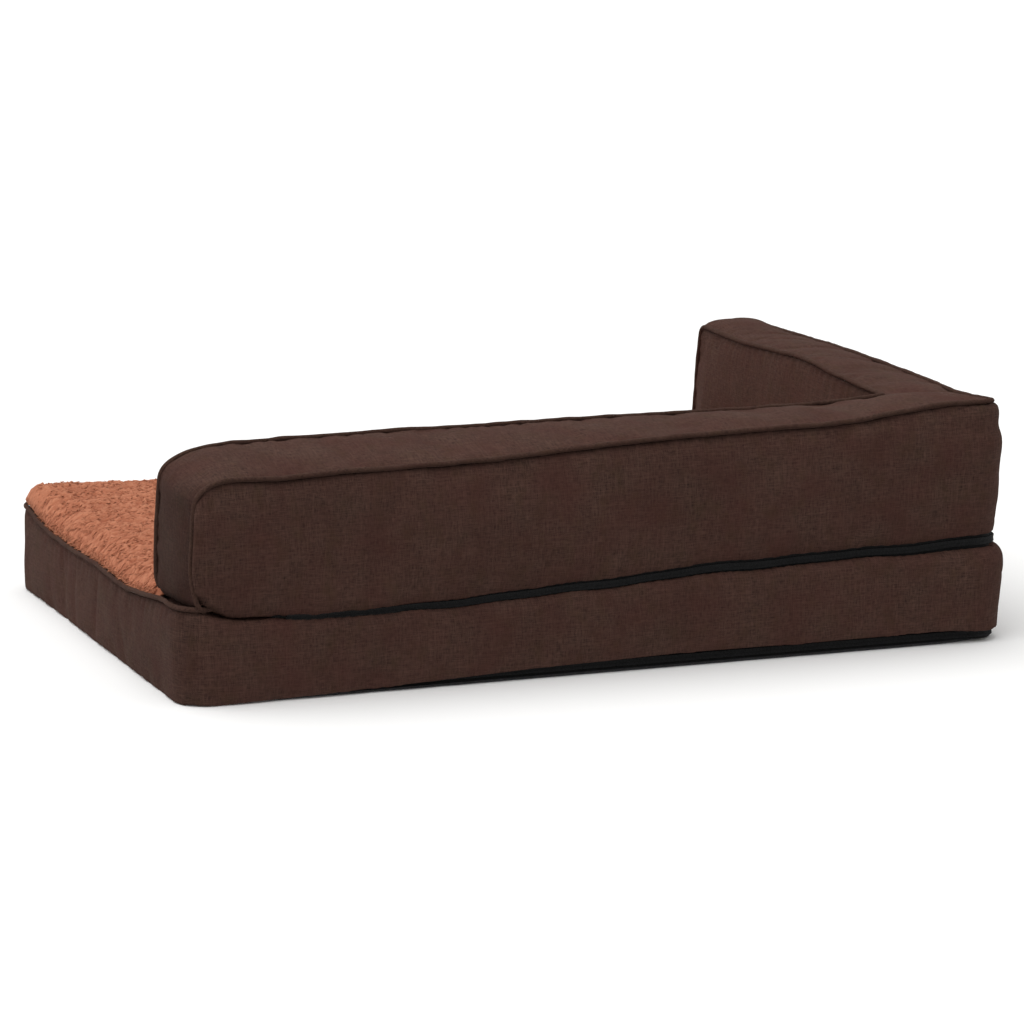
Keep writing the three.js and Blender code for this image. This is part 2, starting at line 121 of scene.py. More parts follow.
def grid(*values):
    """Arrays of one shape, (rows, columns), stacked as vectors."""
    return np.stack(np.broadcast_arrays(*values), axis=-1)


def unit(vectors):
    return vectors / np.maximum(np.linalg.norm(vectors, axis=-1, keepdims=True), 1e-12)


def roll(distance, height, depth):
    """How far fabric turns in, at a distance from its sewn edge: depth at the edge, nothing past height."""
    t = np.clip(1 - np.asarray(distance, float) / height, 0, 1)
    return depth * (1 - np.sqrt(1 - t * t))


def bump(distance, reach):
    """1 where distance is nothing, fading to almost nothing past twice the reach."""
    return np.exp(-((distance / reach) ** 2))


def crowned(t, power=0.75):
    """A pad's fullness across it: nothing at 0 and 1, and 1 in the middle."""
    return np.clip(1 - (2 * np.asarray(t, float) - 1) ** 2, 0, 1) ** power


def both_ends(count, power=1.6):
    """Numbers from 0 to 1, closer together near both ends."""
    t = np.linspace(-1, 1, count)
    return (np.sign(t) * (1 - (1 - np.abs(t)) ** power) + 1) / 2


def run_of(path):
    """Distance along a path at each of its points."""
    return np.concatenate([[0], np.cumsum(np.linalg.norm(np.diff(path, axis=0), axis=1))])


def ripple(s, size, seed):
    """Waves along a line."""
    return waves(grid(s, 0 * s), size, seed)


def rounded(x, y, corner_x, corner_y, radius):
    """Places on a square-cornered grid, drawn in so that its one outer corner is round."""
    way_x, way_y = math.copysign(1, corner_x), math.copysign(1, corner_y)
    centre_x, centre_y = corner_x - way_x * radius, corner_y - way_y * radius
    p, r = way_x * (x - centre_x) / radius, way_y * (y - centre_y) / radius
    inside = (p > 0) & (r > 0)
    scale = np.maximum(p, r) / np.maximum(np.hypot(p, r), 1e-9)
    return (np.where(inside, centre_x + way_x * p * scale * radius, x),
            np.where(inside, centre_y + way_y * r * scale * radius, y))


class Line:
    """A plan line through points, with its corners rounded. Its outside is on its right."""

    def __init__(self, points, radius):
        points = [np.array(p, float) for p in points]
        heading = math.atan2(*(points[1] - points[0])[::-1])
        xy, headings = [points[0]], [heading]
        for here, after in zip(points[1:-1], points[2:]):
            onward = math.atan2(*(after - here)[::-1])
            turn = (onward - heading + math.pi) % (2 * math.pi) - math.pi
            ahead = np.array([math.cos(heading), math.sin(heading)])
            aside = np.array([-ahead[1], ahead[0]]) * math.copysign(1, turn)
            start = here - ahead * radius * abs(math.tan(turn / 2))
            for angle in np.linspace(0, abs(turn), 25):
                xy.append(start + radius * (math.sin(angle) * ahead + (1 - math.cos(angle)) * aside))
                headings.append(heading + math.copysign(angle, turn))
            heading = headings[-1]
        xy.append(points[-1])
        headings.append(heading)
        self.xy = np.array(xy)
        self.headings = np.array(headings)
        self.s = run_of(self.xy)
        self.length = self.s[-1]
        fine = np.linspace(0, self.length, 2400)
        self.fine = fine, self.at(fine)[0], self.at(fine)[1]

    def at(self, s, out=0.0):
        """X and Y at each s, moved out to the right by out."""
        x, y = (np.interp(s, self.s, self.xy[:, i]) for i in (0, 1))
        nx, ny = self.normal(s)
        return x + nx * out, y + ny * out

    def points(self, s, z, out=0.0):
        """The same with heights, as vectors."""
        return grid(*self.at(s, out), z)

    def normal(self, s):
        heading = np.interp(s, self.s, self.headings)
        return np.sin(heading), -np.cos(heading)

    def near(self, x, y):
        """The s of the line's nearest point."""
        s, fx, fy = self.fine
        x, y = np.asarray(x, float)[..., None], np.asarray(y, float)[..., None]
        return s[np.argmin((fx - x) ** 2 + (fy - y) ** 2, axis=-1)]


def track(samples, soft=0.02):
    """A smooth function through (place in metres, value in millimetres) samples."""
    s, value = np.array(samples, float).T
    value = value * MM
    fine = np.arange(s[0] - 0.1, s[-1] + 0.1, 0.002)
    reach = max(1, int(soft / 0.002))
    kernel = np.hanning(2 * reach + 3)
    padded = np.pad(np.interp(fine, s, value), reach + 1, mode="edge")
    smoothed = np.convolve(padded, kernel / kernel.sum(), mode="valid")
    return lambda x: np.interp(x, fine, smoothed)


# ---- Lines round the bed ----

# The bolster's outer wall, from the long arm's free end round the back right corner.
# Everywhere below, q is the distance along it, and s the distance along RIM.
WALL = Line([(LONG_END, HALF_Y), (-HALF_X, HALF_Y), (-HALF_X, SHORT_END)], CORNER)
# The mattress's outline, from the front end of the right-hand side and counter-clockwise round to it.
RIM_START = -0.219
RIM = Line(
    [(-HALF_X, RIM_START), (-HALF_X, -HALF_Y), (HALF_X, -HALF_Y), (HALF_X, HALF_Y),
     (-HALF_X, HALF_Y), (-HALF_X, RIM_START)],
    CORNER,
)
RIM_SHIFT = float(RIM.near(0, HALF_Y) - WALL.near(0, HALF_Y))


def back_q(x):
    """The q of a place on the back wall."""
    return LONG_END - x


def side_q(y):
    """The q of a place on the right-hand wall."""
    return WALL.length - (y - SHORT_END)


BACK_RIGHT_Q = float(WALL.near(-0.365, 0.255))
ZIP_FRONT_Q = side_q(-0.216)
GAP_START, GAP_FULL = back_q(0.3), back_q(0.288)  # where bolster and mattress part, going right along the back
GAP_CLOSING, GAP_END = ZIP_FRONT_Q + 2 * MM, ZIP_FRONT_Q + 12 * MM  # the same towards the short arm's end


def wall_track(back, side, start=None, corner=None, soft=0.012):
    """A track along WALL: values by X on its back and by Y on its side, and at its start and its corner."""
    samples = [(0, start)] if start is not None else []
    samples += [(back_q(x), value) for x, value in back]
    samples += [(BACK_RIGHT_Q, corner)] if corner is not None else []
    return track(samples + [(side_q(y), value) for y, value in side], soft)


# Middle of the gap between bolster and mattress: it sags towards the open end.
crease_line = wall_track(
    start=82,
    back=[(0.36, 80.6), (0.346, 76), (0.327, 72), (0.297, 70.6), (0.266, 68.8), (0.235, 67.6), (0.187, 68.8),
          (0.14, 70.6), (0.077, 73), (0.005, 77.2), (-0.055, 80.2), (-0.087, 82.6), (-0.13, 84), (-0.181, 85),
          (-0.239, 86.2), (-0.304, 87.6), (-0.34, 89.6)],
    side=[(0.235, 91.2), (0.22, BOLSTER_ZIP_Z / MM), (-0.2, BOLSTER_ZIP_Z / MM), (-0.235, 85.4),
          (-0.259, 82.8)],
)


def crease(q):
    """The crease with the small waves of the sewn zip, along the back only."""
    on_back = step(0.06, 0.12, q) * step(BACK_RIGHT_Q - 0.02, BACK_RIGHT_Q - 0.08, q)
    return crease_line(q) + 0.55 * MM * (np.sin(q * 44 + 0.6) + 0.6 * np.sin(q * 91 + 2.1)) * on_back


# Half the height of the gap, where the zip shows.
zip_gap = wall_track(
    start=0.5,
    back=[(0.297, 0.8), (0.266, 1.1), (0.235, 1.5), (0.187, 2.1), (0.14, 2.8), (0.077, 3.1), (0.005, 3.5),
          (-0.055, 3.6), (-0.13, 4.2), (-0.239, 4), (-0.304, 4.9), (-0.34, 5.6)],
    side=[(0.2, 5.4), (-0.205, 5.4), (-0.225, 1.2), (-0.259, 0.6)],
    soft=0.01,
)
# The lower edge of the mattress wall, which sags over the base zip towards the open end.
base_hem = wall_track(
    back=[(0.32, 0.6), (0.28, 1.4), (0.24, 2.8), (0.18, 4.6), (0.12, 6.8), (0.06, 9.2), (0.005, 10.2),
          (-0.07, 12), (-0.18, 11.4), (-0.25, 11.4), (-0.31, 12.4), (-0.34, 13.2)],
    side=[(0.2, 14), (-0.212, 14), (-0.232, 0.6)],
)
# The outer seam of the bolster's top band, without the rounding at its two free ends.
outer_seam_z = wall_track(
    start=189.5,
    back=[(0.325, 189.2), (0.289, 187.8), (0.264, 188.2), (0.233, 190), (0.139, 190.6), (0.077, 193),
          (0.005, 197.4), (-0.069, 200.6), (-0.138, 202.2), (-0.209, 202.8), (-0.245, 206), (-0.281, 210.6),
          (-0.317, 213.2)],
    corner=213,
    side=[(0.225, 209), (0.187, 206.4), (0.166, 205.8), (0.14, 207.8), (0, 209), (-0.1, 208.8), (-0.17, 206.6),
          (-0.24, 205), (-0.259, 205)],
)
inner_long_z = track([
    (-0.301, 209.3), (-0.279, 207.4), (-0.257, 206.4), (-0.232, 204.7), (-0.1, 204.7), (-0.03, 205.6),
    (0.06, 205.1), (0.15, 205.5), (0.22, 205), (0.3, 204), (0.37, 203.6),
])
inner_short_z = track([
    (-0.26, 210.2), (-0.2, 209.6), (-0.15, 208.7), (-0.064, 213), (0.0, 215.4), (0.023, 214.8), (0.065, 211.4),
    (0.13, 209.2), (0.18, 209.3),
])
LONG_ROUND = {"outer": (34 * MM, 22 * MM), "inner": (66 * MM, 26 * MM)}  # length and height of the rounding
SHORT_ROUND = {"outer": (8 * MM, 8 * MM), "inner": (10 * MM, 10 * MM)}
SEAM_DEPTH = 2 * MM  # of the outer seam, inside the wall's plane
INNER_SEAM = 1.5 * MM  # of the inner seam, inside the inner walls' planes
BAND_TUCK = 1.1 * MM  # how far the top band dips below the middle of the piping
SEAM_TUCK = 2 * MM  # the same for the walls, as how far the fabric dips below the middle of the piping
V_X, V_Y = INNER_X - INNER_SEAM, INNER_Y + INNER_SEAM
# X or Y of each seam at the foot of its free end, and how far it leans back on its way up.
LONG_END_AT = {"outer": (LONG_END - 3.2 * MM, 3.2 * MM), "inner": (LONG_END + 2.3 * MM, 3.4 * MM)}
SHORT_END_AT = {"outer": (SHORT_END - 5 * MM, 1.5 * MM), "inner": (SHORT_END - 4 * MM, 17 * MM)}


def outer_top(q):
    """The outer seam's height, with both free ends rounded."""
    ends = (LONG_END - sum_of(LONG_END_AT["outer"], -1), SHORT_END - sum_of(SHORT_END_AT["outer"], 1))
    start = roll(q - ends[0], *LONG_ROUND["outer"])
    return outer_seam_z(q) - start - roll(WALL.length - q + ends[1], *SHORT_ROUND["outer"])


def sum_of(place, sign):
    """Where a seam turns from a free end on to the top."""
    return place[0] + sign * place[1]


def inner_long_top(x):
    """The inner seam's height along the long arm."""
    return inner_long_z(x) - roll(sum_of(LONG_END_AT["inner"], -1) - x, *LONG_ROUND["inner"])


def inner_short_top(y):
    return inner_short_z(y) - roll(y - sum_of(SHORT_END_AT["inner"], 1), *SHORT_ROUND["inner"])


# ---- Materials ----


class Shade:
    """One material's nodes. Sockets are linked, and plain values are set on them."""

    def __init__(self, name, **sockets):
        self.material = bpy.data.materials.new(name)
        self.material.use_nodes = True
        self.tree = self.material.node_tree
        self.surface = self.tree.nodes["Principled BSDF"]
        for socket, value in sockets.items():
            self.surface.inputs[socket.replace("_", " ")].default_value = value

    def node(self, kind, inputs=None, out=0, **settings):
        made = self.tree.nodes.new("ShaderNode" + kind)
        for key, value in settings.items():
            setattr(made, key, value)
        for key, value in (inputs or {}).items():
            if isinstance(value, bpy.types.NodeSocket):
                self.tree.links.new(value, made.inputs[key])
            else:
                made.inputs[key].default_value = value
        return made.outputs[out]

    def maths(self, operation, a, b=0.0):
        return self.node("Math", {0: a, 1: b}, operation=operation)

    def stretched(self, vector, x, y, z=1.0):
        return self.node("Mapping", {"Vector": vector, "Scale": (x, y, z)})

    def noise(self, vector, x, y, z=1.0, detail=2.0, roughness=0.5):
        """Noise with x, y and z features to the metre."""
        vector = self.stretched(vector, x, y, z)
        return self.node("TexNoise", {"Vector": vector, "Scale": 1.0, "Detail": detail, "Roughness": roughness})

    def mix(self, factor, a, b, blend="MIX"):
        inputs = {0: factor, 6: a, 7: b}
        return self.node("Mix", inputs, out=2, data_type="RGBA", blend_type=blend)

    def tinted(self, colour, value, low, high, amount, other):
        """Colour mixed with up to that amount of the other, as value goes from low to high."""
        return self.mix(self.maths("MULTIPLY", self.ramp(value, low, high), amount), colour, other)

    def ramp(self, value, low, high):
        """Value stretched so that low and high become 0 and 1."""
        return self.node("MapRange", {"Value": value, "From Min": low, "From Max": high})

    def shaded(self, colour, value):
        tone = self.node("CombineColor", {0: value, 1: value, 2: value})
        return self.mix(1.0, colour, tone, "MULTIPLY")

    def finish(self, colour, height=None, distance=0.3 * MM, strength=1.0, roughness=None):
        self.tree.links.new(colour, self.surface.inputs["Base Color"])
        if roughness is not None:
            self.tree.links.new(roughness, self.surface.inputs["Roughness"])
        if height is not None:
            bump = self.node("Bump", {"Height": height, "Distance": distance, "Strength": strength})
            self.tree.links.new(bump, self.surface.inputs["Normal"])
        return self.material


def linear(red, green, blue):
    """A colour given as 0 to 255 on a screen."""
    values = [c / 255 for c in (red, green, blue)]
    return (*[c / 12.92 if c < 0.04045 else ((c + 0.055) / 1.055) ** 2.4 for c in values], 1.0)


def linen(name, dark, light, tint, pitch=0.9 * MM, bias=0.0):
    """A dark melange weave: slubby threads both ways over a fine over-and-under texture."""
    s = Shade(name, Roughness=0.94, Sheen_Weight=0.04, Sheen_Roughness=0.45, Specular_IOR_Level=0.1)
    s.surface.inputs["Sheen Tint"].default_value = (*linear(205, 150, 126)[:3], 1)
    uv = s.node("UVMap", uv_map="Weave")
    if bias:
        uv = s.node("VectorRotate", {"Vector": uv, "Angle": bias}, rotation_type="Z_AXIS")
    per = 1 / pitch
    warp = s.noise(uv, 1.15 * per, 0.15 * per, detail=2.5)
    weft = s.noise(uv, 0.15 * per, 1.15 * per, detail=2.5)
    slubs = s.noise(uv, 0.5 * per, 0.035 * per, detail=1.5)
    cross_slubs = s.noise(uv, 0.035 * per, 0.5 * per, detail=1.5)
    threads = s.maths("ADD", s.ramp(warp, 0.32, 0.72), s.ramp(weft, 0.32, 0.72))
    thick = s.maths("ADD", s.ramp(slubs, 0.45, 0.8), s.ramp(cross_slubs, 0.45, 0.8))
    cells = s.noise(uv, 26, 26, detail=3.0)
    blotches = s.noise(uv, 9, 9, detail=2.0)
    base = s.mix(s.maths("MULTIPLY", threads, 0.5), dark, light)
    base = s.mix(s.maths("MULTIPLY", thick, 0.45), base, light)
    olive = s.noise(uv, 70, 48, detail=2.0)
    base = s.tinted(base, olive, 0.5, 0.75, 0.45, linear(64, 48, 34))
    base = s.tinted(base, cells, 0.35, 0.7, 0.5, tint)
    # Painted shade: the weave is darkened by up to 42% where the mesh sets this attribute, below seams and on
    # shaded panels.
    depth = s.node("Attribute", out=2, attribute_name="painted_shade")
    shade = s.node("MapRange", {"Value": blotches, "To Min": 0.84, "To Max": 1.12})
    shade = s.maths("MULTIPLY", shade, s.maths("SUBTRACT", 1.0, s.maths("MULTIPLY", depth, 0.42)))
    base = s.shaded(base, shade)
    split = s.node("SeparateXYZ", {0: s.stretched(uv, math.pi * per, math.pi * per)})
    across = s.maths("SINE", split)
    up = s.maths("SINE", split.node.outputs[1])
    plain = s.maths("MULTIPLY", across, up)
    height = s.maths("ADD", s.maths("MULTIPLY", plain, 0.3), s.maths("MULTIPLY", threads, 0.6))
    height = s.maths("ADD", height, s.maths("MULTIPLY", thick, 0.4))
    return s.finish(base, height, distance=0.45 * MM, strength=0.8)


def fleece(name):
    """Plush pile: painted shade darkens it down in its clefts and painted light makes it paler on its tips, with a
    hazy sheen.
    """
    s = Shade(name, Roughness=0.95, Sheen_Weight=0.55, Sheen_Roughness=0.5, Specular_IOR_Level=0.15)
    s.surface.inputs["Sheen Tint"].default_value = linear(236, 170, 140)
    uv = s.node("UVMap", uv_map="Weave")
    # Painted shade and light: the colour runs from a dark root colour in the clefts to a pale tip colour, by the
    # pile height.
    depth = s.node("Attribute", out=2, attribute_name="pile_height")
    fine = s.noise(uv, 420, 1100, detail=4.0, roughness=0.6)
    streaks = s.noise(uv, 60, 210, detail=3.0)
    patches = s.noise(uv, 14, 20, detail=2.0)
    root, middle, tip = linear(136, 72, 48), linear(172, 105, 77), linear(198, 133, 102)
    base = s.mix(s.ramp(depth, 0.0, 0.55), root, middle)
    base = s.mix(s.ramp(depth, 0.5, 1.05), base, tip)
    base = s.tinted(base, streaks, 0.62, 0.3, 0.35, root)
    base = s.tinted(base, patches, 0.45, 0.75, 0.3, tip)
    spread = {"Value": fine, "From Min": 0.3, "From Max": 0.7, "To Min": 0.72, "To Max": 1.2}
    fibres = s.node("MapRange", spread)
    base = s.shaded(base, fibres)
    height = s.maths("ADD", s.maths("MULTIPLY", fine, 0.8), s.maths("MULTIPLY", streaks, 0.8))
    return s.finish(base, height, distance=1.2 * MM, strength=0.7)


def tape_cloth(name):
    """Black zip tape: a fine twill with a sewn line along it."""
    s = Shade(name, Roughness=0.85, Sheen_Weight=0.05, Specular_IOR_Level=0.15)
    uv = s.node("UVMap", uv_map="Weave")
    twill = s.node("TexWave", {"Vector": s.stretched(uv, 900, 900), "Scale": 1.0, "Distortion": 0.6},
                   bands_direction="DIAGONAL")
    lint = s.noise(uv, 700, 300, detail=3.0)
    base = s.mix(s.ramp(lint, 0.4, 0.75), linear(10, 10, 10), linear(24, 25, 26))
    return s.finish(base, twill, distance=0.25 * MM, strength=0.6)


def nylon(name):
    s = Shade(name, Specular_IOR_Level=0.3)
    place = s.node("NewGeometry")
    grain = s.noise(place, 800, 800, 800, detail=2.0)
    base = s.mix(grain, linear(11, 11, 12), linear(22, 23, 24))
    rough = s.node("MapRange", {"Value": grain, "To Min": 0.42, "To Max": 0.62})
    return s.finish(base, grain, distance=0.05 * MM, roughness=rough)


def enamel(name):
    """Black painted zinc, worn to bare metal in places."""
    s = Shade(name, Specular_IOR_Level=0.5)
    place = s.node("NewGeometry")
    grain = s.noise(place, 900, 900, 900, detail=4.0)
    wear = s.ramp(s.noise(place, 260, 260, 260, detail=5.0, roughness=0.7), 0.63, 0.7)
    base = s.mix(grain, linear(22, 22, 23), linear(40, 40, 42))
    base = s.mix(wear, base, linear(120, 118, 114))
    rough = s.node("MapRange", {"Value": grain, "To Min": 0.28, "To Max": 0.45})
    s.tree.links.new(wear, s.surface.inputs["Metallic"])
    return s.finish(base, grain, distance=0.06 * MM, roughness=rough)


def foam_cells(name):
    s = Shade(name, Roughness=0.95, Sheen_Weight=0.1)
    place = s.node("NewGeometry")
    cells = s.node("TexVoronoi", {"Vector": place, "Scale": 700.0})
    clouds = s.noise(place, 18, 18, 18, detail=3.0)
    base = s.mix(s.ramp(cells, 0.0, 0.7), linear(196, 188, 158), linear(238, 231, 205))
    base = s.mix(s.maths("MULTIPLY", clouds, 0.4), base, linear(222, 206, 164))
    return s.finish(base, cells, distance=0.5 * MM)


def grip_cloth(name):
    """The non-slip underside: black non-woven cloth."""
    s = Shade(name, Roughness=0.85, Specular_IOR_Level=0.3)
    place = s.node("NewGeometry")
    felt = s.noise(place, 500, 500, 500, detail=4.0, roughness=0.65)
    base = s.mix(s.ramp(felt, 0.35, 0.7), linear(21, 21, 22), linear(47, 47, 49))
    return s.finish(base, felt, distance=0.3 * MM)


LINEN = linen("linen", linear(33, 23, 21), linear(93, 68, 59), linear(70, 40, 36))
PIPING = linen("piping_linen", linear(34, 25, 22), linear(86, 63, 54), linear(62, 38, 33), bias=math.pi / 4)
FLEECE = fleece("fleece")
TAPE = tape_cloth("zip_tape")
COIL = nylon("zip_coil")
METAL = enamel("zip_enamel")
FOAM = foam_cells("foam")
GRIP = grip_cloth("grip_cloth")

# ---- Meshes ----


def make_object(name, verts, faces, material, uv=None, smooth=True):
    """A mesh object from its points, lists of each face's points, and each point's UV."""
    mesh = bpy.data.meshes.new(name)
    mesh.from_pydata(np.asarray(verts).tolist(), [], faces)
    mesh.materials.append(material)
    if uv is not None:
        layer = mesh.uv_layers.new(name="Weave")
        corners = np.empty(len(mesh.loops), np.int32)
        mesh.loops.foreach_get("vertex_index", corners)
        layer.data.foreach_set("uv", np.asarray(uv, np.float32)[corners].ravel())
    mesh.polygons.foreach_set("use_smooth", [smooth] * len(mesh.polygons))
    mesh.update()
    made = bpy.data.objects.new(name, mesh)
    bpy.context.scene.collection.objects.link(made)
    return made


def quads(rows, columns, start=0, closed_columns=False):
    """Faces of a grid of points numbered row by row."""
    last = columns if closed_columns else columns - 1
    i, j = np.meshgrid(np.arange(rows - 1), np.arange(last), indexing="ij")
    k = (j + 1) % columns
    faces = np.stack([i * columns + j, (i + 1) * columns + j, (i + 1) * columns + k, i * columns + k], axis=-1)
    return faces.reshape(-1, 4) + start


def tubes(rows, sides, count=1, turned=False):
    """Faces of tubes with capped ends, each with that many rings of points. Turned ones face the other way."""
    per = rows * sides
    one = quads(rows, sides, closed_columns=True).tolist()
    one += [list(range(sides)), list(range(per - sides, per))[::-1]]
    if turned:
        one = [face[::-1] for face in one]
    return [[point + k * per for point in face] for k in range(count) for face in one]


SOFT = []  # covers that the cloth simulation presses out, with the most that each may move
PRESS_WALL, PRESS_BOLSTER = 2.2 * MM, 2 * MM  # the most that it may move the outer walls, and the other covers
MATTRESS_FILL, BOLSTER_FILL = 0.95, 0.9
WELD_REACH = 0.02 * MM


def cloth_sheet(name, patches, material, thickness=FABRIC, press=0.0):
    """One fabric piece from grids of points and their UVs, which meet edge to edge."""
    verts, faces, uvs, start = [], [], [], 0
    for points, uv in patches:
        rows, columns = points.shape[:2]
        verts.append(points.reshape(-1, 3))
        uvs.append(uv.reshape(-1, 2))
        faces.append(quads(rows, columns, start))
        start += rows * columns
    made = make_object(name, np.concatenate(verts), np.concatenate(faces).tolist(), material,
                       np.concatenate(uvs))
    if len(patches) > 1:
        weld = made.modifiers.new("weld", "WELD")
        weld.merge_threshold = WELD_REACH
        apply_modifiers(made)
    if press:
        SOFT.append((made, press, thickness))
    else:
        thicken(made, thickness)
    return made


def thicken(made, thickness):
    shell = made.modifiers.new("thickness", "SOLIDIFY")
    shell.thickness = thickness
    shell.offset = -1
    apply_modifiers(made)


def places(mesh):
    """Each point of a mesh."""
    co = np.empty(len(mesh.vertices) * 3, np.float32)
    mesh.vertices.foreach_get("co", co)
    return co.reshape(-1, 3).astype(float)


def set_values(made, name, values):
    """A number at each point of a mesh, which its material reads as painted shade: how far the linen is darkened,
    or how near the pile's tips a place is, about 0 to 1.
    """
    layer = made.data.attributes.new(name, "FLOAT", "POINT")
    layer.data.foreach_set("value", np.asarray(values, np.float32))


CLOTH = {
    "quality": 5, "mass": 0.3, "tension_stiffness": 25, "compression_stiffness": 25, "shear_stiffness": 12,
    "bending_stiffness": 0.6, "air_damping": 2, "use_pressure": True, "uniform_pressure_force": 4.0,
    "shrink_min": -0.025,
}
CLOTH_FRAMES = 20


def press_out():
    """The filling presses the covers out between their seams, and the slack cloth wrinkles."""
    scene = bpy.context.scene
    scene.frame_start, scene.frame_end = 1, CLOTH_FRAMES
    before = [places(made.data) for made, _, _ in SOFT]
    for made, _, _ in SOFT:
        pins = made.vertex_groups.new(name="seams")
        pins.add(seam_points(made.data), 1.0, "REPLACE")
        cloth = made.modifiers.new("cloth", "CLOTH")
        cloth.point_cache.frame_start, cloth.point_cache.frame_end = 1, CLOTH_FRAMES
        for key, value in CLOTH.items():
            setattr(cloth.settings, key, value)
        cloth.settings.effector_weights.gravity = 0
        cloth.settings.vertex_group_mass = pins.name
    for frame_number in range(1, CLOTH_FRAMES + 1):
        scene.frame_set(frame_number)
    graph = bpy.context.evaluated_depsgraph_get()
    after = [places(made.evaluated_get(graph).data) for made, _, _ in SOFT]
    scene.frame_set(1)
    for (made, cap, _), old, new in zip(SOFT, before, after):
        shift = new - old
        size = np.linalg.norm(shift, axis=1, keepdims=True)
        shift *= cap / (cap + size)
        made.modifiers.clear()
        made.vertex_groups.clear()
        made.data.vertices.foreach_set("co", (old + shift).astype(np.float32).ravel())
        made.data.update()
    for made, _, thickness in SOFT:
        thicken(made, thickness)


def seam_points(mesh):
    """The vertices on the open edges of a sheet."""
    edges = np.empty(len(mesh.loops), np.int32)
    mesh.loops.foreach_get("edge_index", edges)
    ends = np.empty(len(mesh.edges) * 2, np.int32)
    mesh.edges.foreach_get("vertices", ends)
    open_edges = np.bincount(edges, minlength=len(mesh.edges)) == 1
    return np.unique(ends.reshape(-1, 2)[open_edges]).tolist()


def apply_modifiers(made):
    bpy.context.view_layer.update()
    evaluated = made.evaluated_get(bpy.context.evaluated_depsgraph_get())
    mesh = bpy.data.meshes.new_from_object(evaluated)
    made.modifiers.clear()
    made.data = mesh


ACROSS = (0.13, 0.17, 1.0)  # a direction that no cord runs along


def cord_piece(name, path, seed, sides=12):
    """Fabric-covered piping along a path, with the small twists of its cover."""
    path = resample(np.asarray(path, float), CORD_PITCH)
    length = run_of(path)
    ahead = unit(np.gradient(path, axis=0))
    side = smooth_rows(unit(np.cross(ahead, ACROSS)))
    side = unit(side - ahead * (side * ahead).sum(1, keepdims=True))
    up = np.cross(side, ahead)
    angle = np.linspace(0, 2 * math.pi, sides, endpoint=False)
    around = grid(length[:, None], np.cos(angle)[None] * 0.02, np.sin(angle)[None] * 0.02)
    swell = 1 + 0.045 * waves(around, 0.017, seed) + 0.03 * np.sin(length[:, None] / (3.4 * MM) + angle[None])
    swell[0] *= 0.6
    swell[-1] *= 0.6
    ring = (np.cos(angle)[None, :, None] * side[:, None] + np.sin(angle)[None, :, None] * up[:, None])
    points = path[:, None] + PIPING_RADIUS * swell[..., None] * ring
    uv = grid(length[:, None], angle[None] * PIPING_RADIUS)
    count = len(path) * sides
    verts = np.concatenate([points.reshape(-1, 3), path[:1], path[-1:]])
    uvs = np.concatenate([uv.reshape(-1, 2), uv[0, :1], uv[-1, :1]])
    faces = quads(len(path), sides, closed_columns=True).tolist()
    last = count - sides
    for j in range(sides):
        k = (j + 1) % sides
        faces.append([count, j, k])
        faces.append([count + 1, last + k, last + j])
    return make_object(name, verts, faces, PIPING, uvs)


def smooth_rows(rows, passes=3):
    for _ in range(passes):
        padded = np.concatenate([rows[:1], rows, rows[-1:]])
        rows = (padded[:-2] + 2 * padded[1:-1] + padded[2:]) / 4
    return rows


def resample(path, pitch):
    length = run_of(path)
    s = np.linspace(0, length[-1], max(8, int(length[-1] / pitch)))
    return np.stack([np.interp(s, length, path[:, i]) for i in range(3)], axis=1)


def settle(piece, *nodes, slot, fill=None, body="bed"):
    """Hides a finished piece's CAD nodes and attaches it to its body. Its slot and fill are not used."""
    if nodes:
        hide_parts(*nodes)
    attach(piece, body)
    return piece


# ---- Mattress ----

WALL_ROWS, WALL_COLUMNS = 30, 640
FRONT_LEFT_S = float(RIM.near(HALF_X, -HALF_Y))
LEFT = RIM.near(HALF_X, 0)  # distance along RIM at Y = 0 on the open end's wall
# Height of the middle of the piping round the mattress, by distance along RIM.
rim_piping = track([
    (0, 82), (RIM.near(0.1 - HALF_X, -HALF_Y), 82), (RIM.near(0, -HALF_Y), 81.5),
    (RIM.near(HALF_X - 0.06, -HALF_Y), 80.5),
    *[(LEFT + y, level) for y, level in (
        (-0.237, 78.5), (-0.2, 72.5), (-0.151, 68.6), (-0.082, 69), (0, 70.6), (0.06, 69.4), (0.101, 69.2),
        (0.15, 74.5), (0.187, 79), (0.225, 82))],
    (RIM_SHIFT, 82), (RIM_SHIFT + 0.5, 82),
], soft=0.016)


def in_zip_run(q, margin=0.005):
    """1 where bolster and mattress meet in a gap along the wall, and 0 past its ends."""
    return step(-margin, margin, q) * step(ZIP_FRONT_Q + margin, ZIP_FRONT_Q - margin, q)


def in_gap(q):
    """1 where the two walls stand apart over the zip, and 0 where the crease is closed."""
    return step(GAP_START, GAP_FULL, q) * step(GAP_END, GAP_CLOSING, q)


def near_back_right(q, reach=0.05):
    return bump(q - BACK_RIGHT_Q, reach)


